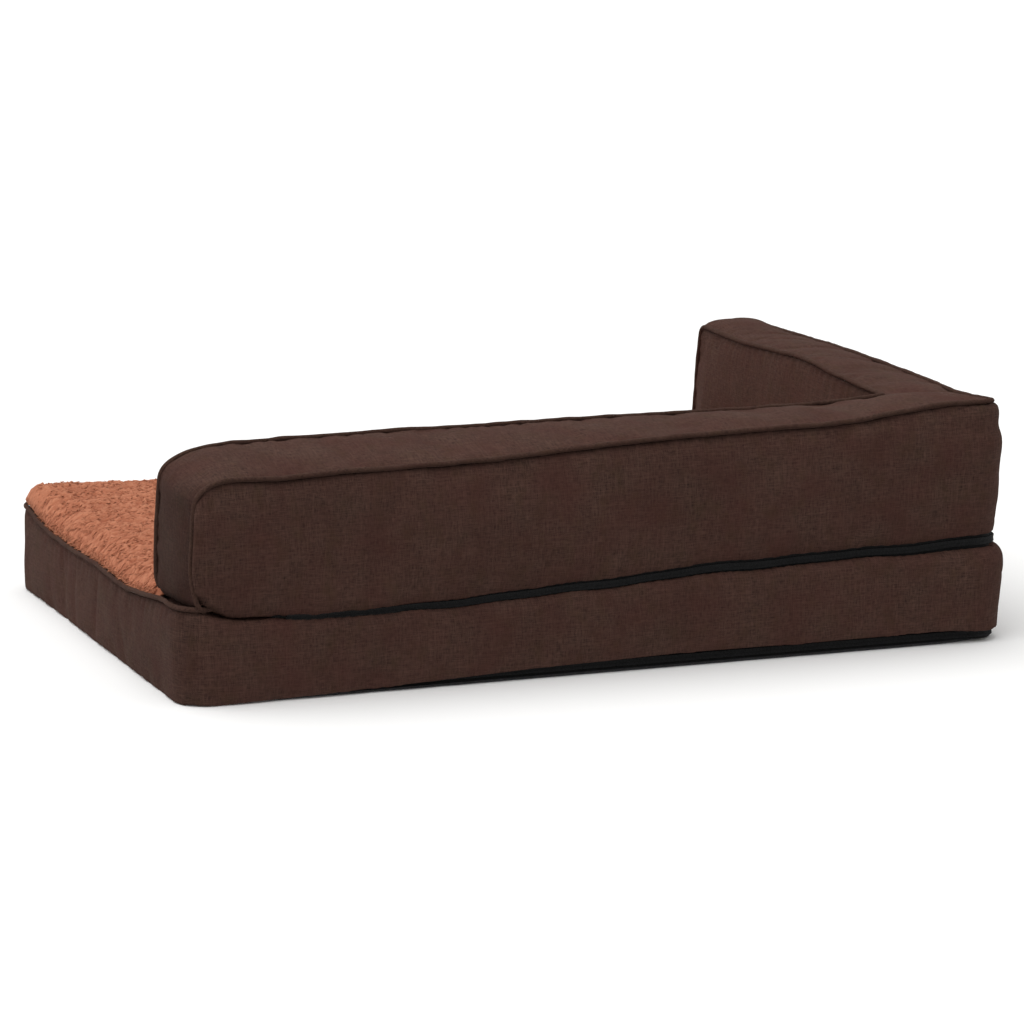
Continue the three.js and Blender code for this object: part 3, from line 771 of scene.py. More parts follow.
def mattress_wall():
    s = np.linspace(0, RIM.length, WALL_COLUMNS)[:, None]
    q = s - RIM_SHIFT
    run = in_zip_run(q)
    low = (1 - run) * 0.4 * MM + run * (base_hem(q) - 3.4 * MM * near_back_right(q, 0.035))
    seam = rim_piping(s) - PIPING_RADIUS
    high = (1 - run) * seam + run * (crease(q) - zip_gap(q))
    t = both_ends(WALL_ROWS)[None]
    z = low + (high - low) * t
    corner = near_back_right(q)
    side = step(BACK_RIGHT_Q, BACK_RIGHT_Q + 0.1, q) * step(ZIP_FRONT_Q + 0.05, ZIP_FRONT_Q - 0.05, q)
    # Fullness: a low swell everywhere, and a fuller roll under the zip that grows towards the right.
    top_roll = (1.2 * MM + 2.6 * MM * step(back_q(0.1), BACK_RIGHT_Q, q) + 1.6 * MM * corner) * run
    foot_swell = (1.2 * MM + 1.4 * MM * corner) * (1 - t) * (1 - 0.8 * run * (1 - corner))
    out = 1.6 * MM + run * 0.4 * MM + foot_swell + 1.8 * MM * corner
    out = out + top_roll * step(0.1, 0.85, t) + 0.6 * MM * crowned(t)
    out = out + 1.6 * MM * bump(s - FRONT_LEFT_S, 0.06)
    out = out - roll(z - low, 3 * MM, 2 * MM * (1 - run) + (2.8 * MM - 1.6 * MM * corner) * run)
    turned_in = 1.2 * MM * (1 - run) + (6.5 * MM + 0.6 * top_roll + side * MM) * run
    out = out - roll(high - z, 6.5 * MM + 6.5 * MM * corner, turned_in)
    place = RIM.points(s, z)
    middle = crowned(t, 0.4)
    out = out + 0.5 * MM * waves(place * (1, 1, 1.6), 0.12, 3) * middle
    out = out + 0.22 * MM * waves(place, 0.045, 4) * middle
    out = out + pucker(s, high - z, 11) * (1 - run)
    out, z = with_flange(out, z, 1 - in_gap(q), -1)
    return RIM.points(s, z, out), grid(s, z)


def with_flange(out, z, closed, side):
    """A wall's points with its edge (the last column for -1, the first for 1) turned in behind it."""
    reach = (0.6 + 21 * closed) * MM * np.array([[0.25, 0.6, 1.0]])
    at = -1 if side < 0 else 0
    turned = out[:, at, None] - reach
    level = z[:, at, None] + side * np.array([[0.3, -0.4, -1.6]]) * MM * closed + side * 0.3 * MM * (1 - closed)
    if side < 0:
        return np.concatenate([out, turned], axis=1), np.concatenate([z, level], axis=1)
    return np.concatenate([turned[:, ::-1], out], axis=1), np.concatenate([level[:, ::-1], z], axis=1)


def pucker(s, distance, seed, height=0.3 * MM, reach=8 * MM, pitch=14 * MM):
    """The small gathers beside a seam, which fade with distance from it."""
    drift = ripple(s, 0.09, seed) * 1.3
    strength = 0.6 + 0.4 * ripple(s, 0.2, seed + 1)
    return height * strength * np.sin(2 * math.pi * s / pitch + drift) * np.exp(-distance / reach)


def make_mattress():
    wall = cloth_sheet("mattress_wall", [mattress_wall()], LINEN, press=PRESS_WALL)
    co = places(wall.data)
    # Painted shade: the open end's wall is darkened towards the back, near the bolster.
    set_values(wall, "painted_shade", 0.4 * step(HALF_X - 0.02, HALF_X - 0.004, co[:, 0]) * step(-0.05, 0.2, co[:, 1]))
    settle(wall, "mattress_side_band", slot="linen", fill=MATTRESS_FILL)

    # From the tab under the bolster's free end, clockwise seen from above, to the front of the right-hand side.
    s = np.arange(RIM_SHIFT + back_q(0.345), 0.001, -3 * MM)
    tucked = step(RIM_SHIFT + back_q(0.364), RIM_SHIFT + back_q(0.349), s)
    left = step(LEFT - 0.3, LEFT - 0.2, s)
    out = 0.6 * MM + 1.9 * MM * left - 9 * MM * tucked + 0.3 * MM * ripple(s, 0.05, 21)
    out = out + 1 * MM * bump(s - FRONT_LEFT_S, 0.06)
    z = rim_piping(s) - 1.5 * MM * tucked + 0.25 * MM * ripple(s, 0.07, 22)
    piping = cord_piece("mattress_piping_cover", RIM.points(s, z, out), seed=23)
    settle(piping, "mattress_piping", slot="piping")


# ---- Bolster ----

BAND_COLUMNS = 24
BAND_CROWN = 4.2 * MM
BAND_SEED = 31
END_ROWS, TOP_ROWS = 16, 150  # of a seam up an arm's free end, and along its top
OUTER_ROWS, OUTER_COLUMNS = 36, 300
INNER_ROWS = 26
BEND_Z = 120 * MM  # where the seams up the free ends start to lean back


def arm_seam(end, lean, stop, top, foot, sign):
    """A seam from the foot of a free end, up it and along the top: places along the arm, and heights."""
    corner = end + sign * lean
    along = corner + (stop - corner) * np.linspace(0, 1, TOP_ROWS) ** 1.5
    heights = top(along)
    z = np.linspace(foot, heights[0], END_ROWS)[:-1]
    rise = end + (corner - end) * np.clip((z - BEND_Z) / (heights[0] - BEND_Z), 0, 1)
    return np.concatenate([rise, along]), np.concatenate([z, heights])


def strip(outer, inner):
    """The top band's points between two seams, with its fullness."""
    w = both_ends(BAND_COLUMNS, 1.3)[None, :, None]
    flat = outer[:, None] * (1 - w) + inner[:, None] * w
    normal = unit(np.cross(np.gradient((outer + inner) / 2, axis=0), inner - outer))
    normal = smooth_rows(normal, 4)
    near_end = step(-0.17, -0.245, flat[..., 1]) * (flat[..., 0] < 0)
    full = (BAND_CROWN + 5.4 * MM * near_end) * crowned(w[..., 0]) ** (1 - 0.3 * near_end) - BAND_TUCK
    full = full + 0.6 * MM * waves(flat, 0.08, BAND_SEED) * crowned(w[..., 0], 0.5)
    return flat + normal[:, None] * full[..., None]


def make_bolster():
    foot = BOLSTER_FOOT - 1.5 * MM

    # Long arm, from its free end to the inner corner.
    x, z = arm_seam(*LONG_END_AT["outer"], V_X, lambda x: outer_top(back_q(x)), foot, -1)
    long_outer = grid(x - 4 * MM * step(0.112, 0.084, z), HALF_Y - SEAM_DEPTH, z)
    x, z = arm_seam(*LONG_END_AT["inner"], V_X, inner_long_top, foot, -1)
    long_inner = grid(x, V_Y, z)

    # Short arm, from the inner corner to its free end.
    y, z = arm_seam(*SHORT_END_AT["outer"], V_Y, lambda y: outer_top(side_q(y)), foot, 1)
    drawn_in = step(0.118, 0.086, z)
    short_outer = grid(-HALF_X + SEAM_DEPTH + 5 * MM * drawn_in, y + 8 * MM * drawn_in, z)[::-1]
    y, z = arm_seam(*SHORT_END_AT["inner"], V_Y, inner_short_top, foot, 1)
    short_inner = grid(V_X, y, z)[::-1]
    v_z = (long_inner[-1, 2] + short_inner[0, 2]) / 2
    ease = np.linspace(0, 1, len(long_inner)) ** 6
    long_inner[:, 2] += (v_z - long_inner[-1, 2]) * ease
    short_inner[:, 2] += (v_z - short_inner[0, 2]) * ease[::-1]

    long_strip = strip(long_outer, long_inner)
    short_strip = strip(short_outer, short_inner)
    # The inner lower corner of the long arm's end is drawn up.
    drawn = step(0.2, 0.176, long_strip[..., 1]) * step(0.13, 0.083, long_strip[..., 2])
    long_strip[..., 2] += 5.5 * MM * drawn
    corner, corner_edge = corner_patch(long_strip[-1], short_strip[0], v_z)

    flat_long = run_of(long_outer)
    flat_short = run_of(short_outer)
    long_uv = grid((V_X + flat_long[-1] - flat_long)[:, None], long_strip[..., 1])
    short_uv = grid(short_strip[..., 0], (V_Y - flat_short)[:, None])
    band = cloth_sheet(
        "bolster_band_cover",
        [(long_strip, long_uv), (corner, corner[..., :2].copy()), (short_strip, short_uv)],
        LINEN, press=PRESS_BOLSTER,
    )
    co = places(band.data)
    # Painted shade: the long arm's free end is darkened below its rounded top.
    set_values(band, "painted_shade", step(LONG_END - 0.03, LONG_END - 0.008, co[:, 0]) * step(0.198, 0.165, co[:, 2]))
    settle(band, "bolster_top_band", slot="linen", fill=BOLSTER_FILL)

    # Piping along both seams. The outer one ends in a tab that is sewn into the mattress's corner.
    tab = [(0.3505, HALF_Y - 9 * MM, 79 * MM), (0.3575, HALF_Y - 1.5 * MM, 80.6 * MM)]
    outer_path = np.concatenate([tab, long_outer[1:], corner_edge, short_outer])
    near = bump(np.hypot(outer_path[:, :1] + HALF_X, outer_path[:, 1:2] - HALF_Y), 0.035)
    outer_path = outer_path + near * np.array([[-0.8 * MM, 0.5 * MM, -0.8 * MM]])
    foot_x = long_inner[0, 0]
    start = [(foot_x - 5 * MM, V_Y + 6 * MM, 85 * MM), (foot_x - 1.5 * MM, V_Y + 2 * MM, 86.5 * MM)]
    inner_path = np.concatenate([start, long_inner[2:], short_inner[1:]])
    for seam, path, seed in (("outer", outer_path, 41), ("inner", inner_path, 43)):
        cord = cord_piece(f"bolster_{seam}_piping_cover", soften(path), seed)
        settle(cord, f"bolster_{seam}_piping", slot="piping")

    make_outer_wall()
    make_inner_walls(long_inner, short_inner)
    make_underside()


def make_underside():
    """The bolster's underside, which sags a little between its seams."""
    level = BOLSTER_FOOT + 1.6 * MM
    xs = (5 * MM - HALF_X, INNER_X - 1 * MM, LONG_END - 7 * MM)
    ys = (SHORT_END + 7 * MM, INNER_Y + 1 * MM, HALF_Y - 5 * MM)
    patches = []
    for i, j, columns, rows in ((1, 1, 90, 14), (0, 1, 12, 14), (0, 0, 12, 60)):
        x, y = np.linspace(xs[i], xs[i + 1], columns), np.linspace(ys[j], ys[j + 1], rows)
        x, y = np.meshgrid(x, y, indexing="ij")
        z = level + 0.4 * MM * waves(grid(x, y), 0.07, 51)
        patches.append((grid(x, y, z), grid(x, y)))
    under = cloth_sheet("bolster_base_cover", patches, LINEN)
    settle(under, "bolster_bottom_panel", slot="linen", fill=BOLSTER_FILL)


def soften(path):
    """A path with the small irregularities of a sewn line."""
    path = smooth_rows(resample(path, CORD_PITCH), 2)
    return path + 0.2 * MM * np.stack([waves(path, 0.05, 51 + i) for i in range(3)], axis=1)


def corner_patch(long_edge, short_edge, v_z):
    """The band over the bed's back right corner, between the ends of the two strips."""
    outer_y, outer_x = HALF_Y - SEAM_DEPTH, -HALF_X + SEAM_DEPTH
    across = both_ends(BAND_COLUMNS, 1.3)
    a = (1 - across[::-1])[:, None]
    b = (1 - across)[None]
    x = V_X + (outer_x - V_X) * a + 0 * b
    y = V_Y + (outer_y - V_Y) * b + 0 * a
    x, y = rounded(x, y, outer_x, outer_y, CORNER - SEAM_DEPTH)

    m = np.maximum(a, b)
    safe = np.maximum(m, 1e-6)
    rim_x = V_X + (outer_x - V_X) * a / safe
    rim_y = V_Y + (outer_y - V_Y) * b / safe
    rim_z = outer_top(WALL.near(rim_x, rim_y))
    z = v_z + (rim_z - v_z) * m + BAND_CROWN * crowned(m) - BAND_TUCK
    points = grid(x, y, z)
    z += 0.6 * MM * waves(points, 0.08, BAND_SEED) * crowned(m, 0.5)
    z -= creases(x, y)
    points = grid(x, y, z)
    points[0] = long_edge
    points[:, -1] = short_edge[::-1]
    edge = np.concatenate([points[:, 0], points[-1, 1:]])
    return points, edge[1:-1] + np.array([0, 0, SEAM_TUCK])


def creases(x, y):
    """Soft folds that run from the corner of the top band towards the inner corner."""
    total = np.zeros(np.shape(x))
    folds = [((-0.362, 0.213), (-0.318, 0.222), 1.4), ((-0.352, 0.243), (-0.325, 0.215), 0.9),
             ((-0.345, 0.197), (-0.318, 0.205), 0.8)]
    for start, end, depth in folds:
        (x0, y0), (x1, y1) = start, end
        length = math.hypot(x1 - x0, y1 - y0)
        along = ((x - x0) * (x1 - x0) + (y - y0) * (y1 - y0)) / length
        aside = ((x - x0) * (y1 - y0) - (y - y0) * (x1 - x0)) / length
        fade = step(-0.008, 0.008, along) * step(length + 0.012, length - 0.012, along)
        total += depth * MM * fade * bump(aside, 3 * MM)
    return total


def make_outer_wall():
    ends = 0.5 * both_ends(OUTER_COLUMNS, 1.35) + 0.5 * np.linspace(0, 1, OUTER_COLUMNS)
    t = both_ends(OUTER_ROWS)[None]
    start = LONG_END - LONG_END_AT["outer"][0]
    stop = WALL.length - 1.5 * MM
    ends_at = LONG_END - sum_of(LONG_END_AT["outer"], -1)
    q = (start + (stop - start) * ends)[:, None]
    # The wall's left edge follows the piping: it leans back at the top and is drawn in at the foot.
    tuck = 10.5 * MM * np.clip(1 - (q - start) / (24 * MM), 0, 1) ** 2.2
    low = crease(q) + zip_gap(q) + tuck
    top_q = q + (sum_of(LONG_END_AT["outer"], -1) - LONG_END_AT["outer"][0]) * -step(start + 0.03, start, q)
    high = outer_top(top_q + 0.2 * MM) - SEAM_TUCK
    z = low + (high - low) * t
    q = q + 3.2 * MM * step(start + 0.03, start, q) * step(0.12, 0.18, z)
    q = q + 3.5 * MM * step(start + 0.03, start, q) * step(0.112, 0.088, z)
    drawn_in = step(stop - 0.035, stop, q) * step(0.118, 0.086, z)
    q = q - 8 * MM * drawn_in
    corner = near_back_right(q)
    side = step(BACK_RIGHT_Q - 0.02, BACK_RIGHT_Q + 0.03, q)
    peak = crowned(t ** (1 + 0.9 * corner), 0.8)
    out = (3.6 * MM + 1.6 * MM * corner) * peak + 2.2 * MM * corner
    out = out - roll(high - z, 14 * MM - 6 * MM * corner, SEAM_DEPTH + 1.2 * MM - 0.6 * MM * corner)
    out = out - roll(high - z, 4 * MM, 1.4 * MM)
    out = out - 2.6 * MM * corner * bump(high - z - 20 * MM, 8 * MM)
    turned_in = 4.6 * MM - 2.8 * MM * corner + 1 * MM * side * (1 - corner)
    out = out - roll(z - low, 10 * MM - 3 * MM * corner, turned_in)
    end_dist = np.minimum(q - start, stop - q)
    out = out - roll(end_dist, 12 * MM, 3 * MM) - 3.5 * MM * drawn_in
    place = WALL.points(q, z)
    middle = crowned(t, 0.5)
    out = out + 0.7 * MM * waves(place * (1, 1, 1.5), 0.13, 61) * middle
    out = out + 0.3 * MM * waves(place, 0.05, 62) * middle
    out = out + pucker(q, high - z, 63)
    # A short fold runs down to the right from the tab.
    along = (q - start - 6 * MM) * 0.75 - (z - crease(start) - 9 * MM) * 0.66
    aside = (q - start - 6 * MM) * 0.66 + (z - crease(start) - 9 * MM) * 0.75
    fold = step(-6 * MM, 2 * MM, along) * step(34 * MM, 12 * MM, along) * bump(aside, 2.6 * MM)
    out = out - 2 * MM * fold + 1 * MM * bump(aside - 6 * MM, 4 * MM) * step(34 * MM, 8 * MM, along)
    out, z = with_flange(out, z, 1 - in_gap(q[:, :1]), 1)
    q = np.concatenate([np.repeat(q[:, :1], 3, axis=1), q], axis=1)
    x, y = WALL.at(q, out)
    y = y - 5.5 * MM * step(stop - 0.04, stop, q)
    wall = cloth_sheet("bolster_outer_cover", [(grid(x, y, z), grid(-q, z))], LINEN, press=PRESS_WALL)
    co = places(wall.data)
    at = np.clip(WALL.near(co[:, 0], co[:, 1]), start, stop)
    below = outer_top(np.maximum(at, ends_at)) - co[:, 2]
    # Painted shade: a dark line just below the top seam's piping.
    set_values(wall, "painted_shade", 1.15 * bump(np.maximum(below, 0), 4.4 * MM))
    settle(wall, "bolster_outer_panel", slot="linen", fill=BOLSTER_FILL)


def make_inner_walls(long_inner, short_inner):
    foot = BOLSTER_FOOT + 0.8 * MM
    t = both_ends(INNER_ROWS)[None]

    def panel(name, along, top, place, seed):
        top = top[:, None] - SEAM_TUCK
        z = foot + (top - foot) * t
        along = along[:, None]
        end_dist = np.minimum(np.abs(along - along[0]), np.abs(along - along[-1]))
        spot = grid(along + 0 * t, z)
        out = 4 * MM * crowned(t, 0.8) * step(0, 0.03, end_dist)
        out = out + 0.7 * MM * waves(spot, 0.1, seed) * crowned(t, 0.5)
        out = out + pucker(along, top - z, seed + 1)
        patch = place(along + 0 * t, z, out), spot
        made = cloth_sheet(f"{name}_cover", [patch], LINEN, press=PRESS_BOLSTER)
        co = places(made.data)
        axis = 0 if np.ptp(co[:, 0]) > 0.1 else 1
        order = np.argsort(along[:, 0])
        below = np.interp(co[:, axis], along[order, 0], top[order, 0]) + SEAM_TUCK - co[:, 2]
        # Painted shade: a dark line just below each panel's top seam.
        set_values(made, "painted_shade", 1.3 * bump(np.maximum(below, 0), 4.6 * MM))
        settle(made, f"{name}_panel", slot="linen", fill=BOLSTER_FILL)

    long_top = long_inner[END_ROWS - 1:][::-1]
    short_top = short_inner[:1 - END_ROWS][::-1]

    def on_long(x, z, out):
        return grid(lean(x, z, long_top[-1], LONG_END_AT["inner"][0]), INNER_Y + 1.0 * MM - out, z)

    def on_short(y, z, out):
        return grid(INNER_X - 1.0 * MM + out, lean(y, z, short_top[0][1:], SHORT_END_AT["inner"][0]), z)

    panel("bolster_inner_back", long_top[:, 0], long_top[:, 2], on_long, 71)
    panel("bolster_inner_right", short_top[:, 1], short_top[:, 2], on_short, 75)


def lean(along, z, top, foot):
    """Places along a panel moved so that its free end follows a seam that leans back to its top."""
    shift = (foot - top[0]) * (1 - np.clip((z - BEND_Z) / (top[-1] - BEND_Z), 0, 1))
    return along + shift * np.exp(-np.abs(along - top[0]) / 0.04)


# ---- Fleece ----

PILE_EDGE = 0.2 * MM  # of the fleece, inside the mattress wall's plane
PILE_PITCH = 2.6 * MM
COMB = (1.0, 0.28)  # the way that the pile lies, in X and Y


def pile_outline_distance(x, y):
    """How far inside the fleece's two open edges a place is."""
    radius = CORNER - PILE_EDGE
    from_end, half = HALF_X - PILE_EDGE - x, HALF_Y - PILE_EDGE
    inside = np.minimum(from_end, half + y)
    for from_side in (half + y, half - y):
        in_corner = (from_end < radius) & (from_side < radius)
        arc = radius - np.hypot(np.minimum(from_end, radius) - radius, np.minimum(from_side, radius) - radius)
        inside = np.where(in_corner, np.minimum(inside, arc), inside)
    return inside


def pile_flow(x, y):
    """Angle that the pile is combed to."""
    place = grid(x, y)
    return math.atan2(COMB[1], COMB[0]) + 0.45 * waves(place, 0.16, 81) + 0.25 * waves(place, 0.05, 82)


def pile_surface(x, y, edge):
    """Height of the fleece, and how near its tips a place is, from 0 to 1."""
    s = RIM.near(np.clip(x, -HALF_X, HALF_X), np.clip(y, -HALF_Y, INNER_Y))
    rim = np.minimum(rim_piping(s), 82.5 * MM) + 1.6 * MM
    reach = 3.2 * MM + 11 * MM * step(-0.245, -0.15, y) * step(0.2, 0.3, x)
    rim = rim + 3.5 * MM * at_open_corner(x, y)
    rise = (1 - np.exp(-np.maximum(edge, 0) / reach))
    plump = 2.6 * MM * step(0.2, 0.34, x) * step(-0.13, -0.24, y)
    level = rim + (PILE_Z - 1 * MM + plump - rim) * rise
    warp = 5 * MM * grid(waves(grid(x, y), 0.03, 83), waves(grid(x, y), 0.03, 84))
    place = grid(x, y) + warp
    long_way = place @ np.array(COMB)
    cross_way = place @ np.array([-COMB[1], COMB[0]])
    ridged = 1 - np.abs(waves(grid(long_way * 0.5, cross_way), 10 * MM, 85, 16)) * 1.1
    fine = waves(grid(long_way * 0.6, cross_way), 5 * MM, 86, 16)
    tips = np.clip(0.42 + 0.24 * ridged + 0.18 * fine, 0, 1.1)
    broad = 0.7 * MM * waves(grid(x, y), 0.07, 87)
    height = level + (tips - 0.5) * 4.0 * MM * (0.35 + 0.65 * rise) + broad * rise
    return height, tips


def at_open_corner(x, y):
    """1 at the bed's open front corner, fading away from it."""
    return bump(np.hypot(x - HALF_X, y + HALF_Y), 0.055)


def make_fleece():
    low_x, high_x = INNER_X + 0.6 * MM, HALF_X - PILE_EDGE
    low_y, high_y = PILE_EDGE - HALF_Y, INNER_Y - 0.6 * MM
    x = np.linspace(low_x, high_x, int((high_x - low_x) / PILE_PITCH))[:, None]
    y = np.linspace(low_y, high_y, int((high_y - low_y) / PILE_PITCH))[None]
    x, y = np.broadcast_arrays(x, y)
    x, y = rounded(x, y, high_x, low_y, CORNER - PILE_EDGE)
    edge = np.maximum(pile_outline_distance(x, y), 0)
    z, tips = pile_surface(x, y, edge)
    # It hangs over the piping at the open front corner, and runs in under the long arm's free end.
    spill = 3 * MM * at_open_corner(x, y) * np.exp(-edge / (12 * MM))
    under = step(0.31, 0.345, x) * step(INNER_Y - 0.025, INNER_Y, y)
    points = grid(x + spill, y - spill + 9 * MM * under, z - 2 * MM * under)
    base = cloth_sheet("fleece_cover", [(points, points[..., :2].copy())], FLEECE, 1.5 * MM)
    # The pile height, which the material turns into painted shade in the clefts and painted light on the tips.
    set_values(base, "pile_height", tips_of(base))
    settle(base, "mattress_fleece_top", slot="fleece", fill=MATTRESS_FILL)
    make_tufts()


def tips_of(made):
    """The pile height of each of a mesh's points."""
    co = places(made.data)
    edge = np.maximum(pile_outline_distance(co[:, 0], co[:, 1]), 0)
    return pile_surface(co[:, 0], co[:, 1], edge)[1]


TUFTS = 15000
TUFT_STEPS = 3
TUFT_SHAPE = np.array([0.7, 1.0, 0.8, 0.15])  # width along a lock, from its root to its tip
RIM_TUFT_ROWS, RIM_TUFT_PITCH = 3, 2.8 * MM


def make_tufts():
    """Locks of pile that lie on the fleece, and hang over its open edges."""
    rng = np.random.default_rng(91)
    low = np.array([INNER_X + 3 * MM, PILE_EDGE - HALF_Y])
    high = np.array([HALF_X - PILE_EDGE, INNER_Y - 2 * MM])
    root = low + (high - low) * rng.random((TUFTS * 2, 2))
    edge = pile_outline_distance(root[:, 0], root[:, 1])
    root = root[edge > 0.5 * MM][:TUFTS]
    rims = []
    for _ in range(RIM_TUFT_ROWS):
        s = np.arange(0.075, RIM_SHIFT - 0.02, RIM_TUFT_PITCH)
        s = s + rng.uniform(-1, 1, len(s)) * MM
        rx, ry = RIM.at(s, -(PILE_EDGE + rng.uniform(0.4, 5.0, len(s)) * MM))
        keep = (ry < INNER_Y - 3 * MM) & (rx > INNER_X + 3 * MM)
        rims.append(np.stack([rx[keep], ry[keep]], axis=1))
    root = np.concatenate([root, *rims])
    edge = pile_outline_distance(root[:, 0], root[:, 1])
    count = len(root)
    near_rim = np.exp(-np.maximum(edge, 0) / (6 * MM))
    nx, ny = RIM.normal(RIM.near(root[:, 0], np.minimum(root[:, 1], INNER_Y)))
    outward = np.arctan2(ny, nx)
    flow = pile_flow(root[:, 0], root[:, 1]) + rng.normal(0, 0.55, count)
    flow += math.pi * (rng.random(count) < 0.3)
    heading = np.where(rng.random(count) < near_rim, outward + rng.normal(0, 0.7, count), flow)
    length = rng.uniform(5, 10, count) * MM * (1 - 0.4 * near_rim)
    width = rng.uniform(0.6, 1.2, count) * MM
    rise = rng.uniform(0.8, 2.2, count) * MM
    bend = rng.normal(0, 1.1, count)
    ground, _ = pile_surface(root[:, 0], root[:, 1], np.maximum(edge, 0))

    t = np.linspace(0, 1, TUFT_STEPS + 1)
    angle = heading[:, None] + bend[:, None] * t
    stride = length[:, None] / TUFT_STEPS
    x = root[:, 0, None] + np.cumsum(np.cos(angle) * stride, axis=1) - np.cos(angle[:, :1]) * stride
    y = root[:, 1, None] + np.cumsum(np.sin(angle) * stride, axis=1) - np.sin(angle[:, :1]) * stride
    x = np.maximum(x, INNER_X + 1.0 * MM)
    y = np.minimum(y, INNER_Y - 1.0 * MM)
    beyond = pile_outline_distance(x, y)
    spill = np.maximum(-beyond - 3.6 * MM, 0)
    rim_x, rim_y = RIM.normal(RIM.near(x, y))
    x, y = x - rim_x * spill, y - rim_y * spill
    follow, _ = pile_surface(x, y, np.maximum(beyond, 0))
    arch = np.sin(math.pi * np.clip(t * 0.9 + 0.1, 0, 1))[None] * rise[:, None]
    z = 0.3 * ground[:, None] + 0.7 * follow + arch - 0.9 * MM
    half = 0.5 * width[:, None] * TUFT_SHAPE
    side_x, side_y = -np.sin(angle), np.cos(angle)
    ridge = grid(x, y, z + 0.6 * half)
    left = grid(x + side_x * half, y + side_y * half, z - 0.8 * half)
    right = grid(x - side_x * half, y - side_y * half, z - 0.8 * half)
    verts = np.stack([left, ridge, right], axis=2).reshape(-1, 3)
    per = (TUFT_STEPS + 1) * 3
    tone = rng.uniform(-0.14, 0.14, count)
    # Painted shade and light on each lock: paler towards its middle and darker at its root and along its two
    # sides, with a random tone per lock.
    values = np.clip(0.5 + 0.36 * np.sin(math.pi * np.clip(t, 0, 0.85))[None] + tone[:, None], 0.1, 1.1)
    values = np.repeat(values[..., None], 3, axis=2) - np.array([0.1, 0, 0.1])
    half_way = count // 2
    for name, first, last in (("fleece_tufts_a", 0, half_way), ("fleece_tufts_b", half_way, count)):
        own = slice(first * per, last * per)
        faces = tubes(TUFT_STEPS + 1, 3, last - first, turned=True)
        tufts = make_object(name, verts[own], faces, FLEECE, verts[own, :2] + 0.3)
        set_values(tufts, "pile_height", values.reshape(-1)[own])
        settle(tufts, slot="fleece")


# ---- Zips ----

TAPE_DEPTH = 5 * MM
TAPE_THICK = 0.8 * MM
STITCH_AT = 4.2 * MM  # of the sewn line along each tape, from the zip's middle
COIL_DEPTH = 2.9 * MM
COIL_THICK = 1.7 * MM
TOOTH_PITCH = 1.3 * MM
TEETH = (-0.4 * MM, 3.05 * MM)  # ends of each tooth, from the zip's middle; the two rows interlock


def zip_middle(name):
    """The height of a zip's middle as a function of q."""
    if name == "bolster_zip":
        return crease
    return lambda q: BASE_ZIP_Z + 0 * np.asarray(q, float)


def zip_out(q):
    """How far out the zips stand from their plain depth: they follow the fuller corner."""
    on_back = step(back_q(0.2), back_q(0.0), q) * step(side_q(0.235), BACK_RIGHT_Q, q)
    return 1 * MM * on_back + 4.6 * MM * near_back_right(q, 0.021)


def make_tapes(name):
    middle = zip_middle(name)
    start, stop = back_q(TAPE_BACK), side_q(TAPE_FRONT)
    q = np.linspace(start, stop, 300)[:, None]
    room = {"base_zip": (5.2, 9.5), "bolster_zip": (9, 10)}[name]
    for side, reach in ((-1, room[0]), (1, room[1])):
        away = np.linspace(0.12 * MM, reach * MM, 9)[None]
        z = middle(q) + side * away
        if side < 0:
            z = z[:, ::-1]
        out = zip_out(q) - TAPE_DEPTH + 0.35 * MM * bump(np.abs(z - middle(q)) - STITCH_AT, 0.5 * MM)
        half = "upper" if side > 0 else "lower"
        patch = WALL.points(q, z, out), grid(q, z - middle(q))
        tape = cloth_sheet(f"{name}_{half}_tape_cloth", [patch], TAPE, TAPE_THICK)
        settle(tape, f"{name}_{half}_tape", slot="zip_tape")


def make_coils(name):
    """Both rows of nylon teeth: each tooth is a small rounded bar across its tape."""
    middle = zip_middle(name)
    start, stop = back_q(COIL_BACK), side_q(COIL_FRONT)
    q = np.arange(start + 1 * MM, stop - 1 * MM, TOOTH_PITCH)
    across = np.array([0, 0.24, 0.9, 1.0])
    swell = np.array([0.5, 0.62, 1.0, 0.6])
    ring = np.array([(-0.42, -0.5), (-0.3, 0.36), (0, 0.5), (0.3, 0.36), (0.42, -0.5)])
    sides = len(ring)
    for side in (-1, 1):
        here = q + (0.5 * TOOTH_PITCH if side > 0 else 0)
        slant = 0.1 * side
        away = TEETH[0] + (TEETH[1] - TEETH[0]) * across
        qq = here[:, None, None] + TOOTH_PITCH * ring[:, 0] * swell[:, None] + slant * (away[:, None] - TEETH[0])
        out = zip_out(qq) - COIL_DEPTH - COIL_THICK / 2 + COIL_THICK * ring[:, 1] * swell[:, None] + 0 * qq
        z = middle(qq) + side * away[:, None]
        verts = WALL.points(qq, z, out).reshape(-1, 3)
        faces = tubes(len(across), sides, len(here), turned=side > 0)
        half = "upper" if side > 0 else "lower"
        coil = make_object(f"{name}_{half}_teeth", verts, faces, COIL, np.zeros((len(verts), 2)))
        settle(coil, f"{name}_{half}_coil", slot="zip_coil")


def make_zips():
    for name in ("base_zip", "bolster_zip"):
        make_tapes(name)
        make_coils(name)
        for part in ("upper_top_stop", "lower_top_stop", "bottom_stop", "slider", "pull"):
            paint(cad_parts[f"{name}_{part}"], METAL)


def paint(node, material):
    node.data.materials.clear()
    node.data.materials.append(material)


# ---- Underside and foam ----

BASE_TOP, BASE_BOTTOM = 2.2 * MM, 0.5 * MM
BASE_COLUMNS = 400
DOT_PITCH = 14 * MM
DOT_RADIUS = 2.1 * MM
DOT_SIDES = 6


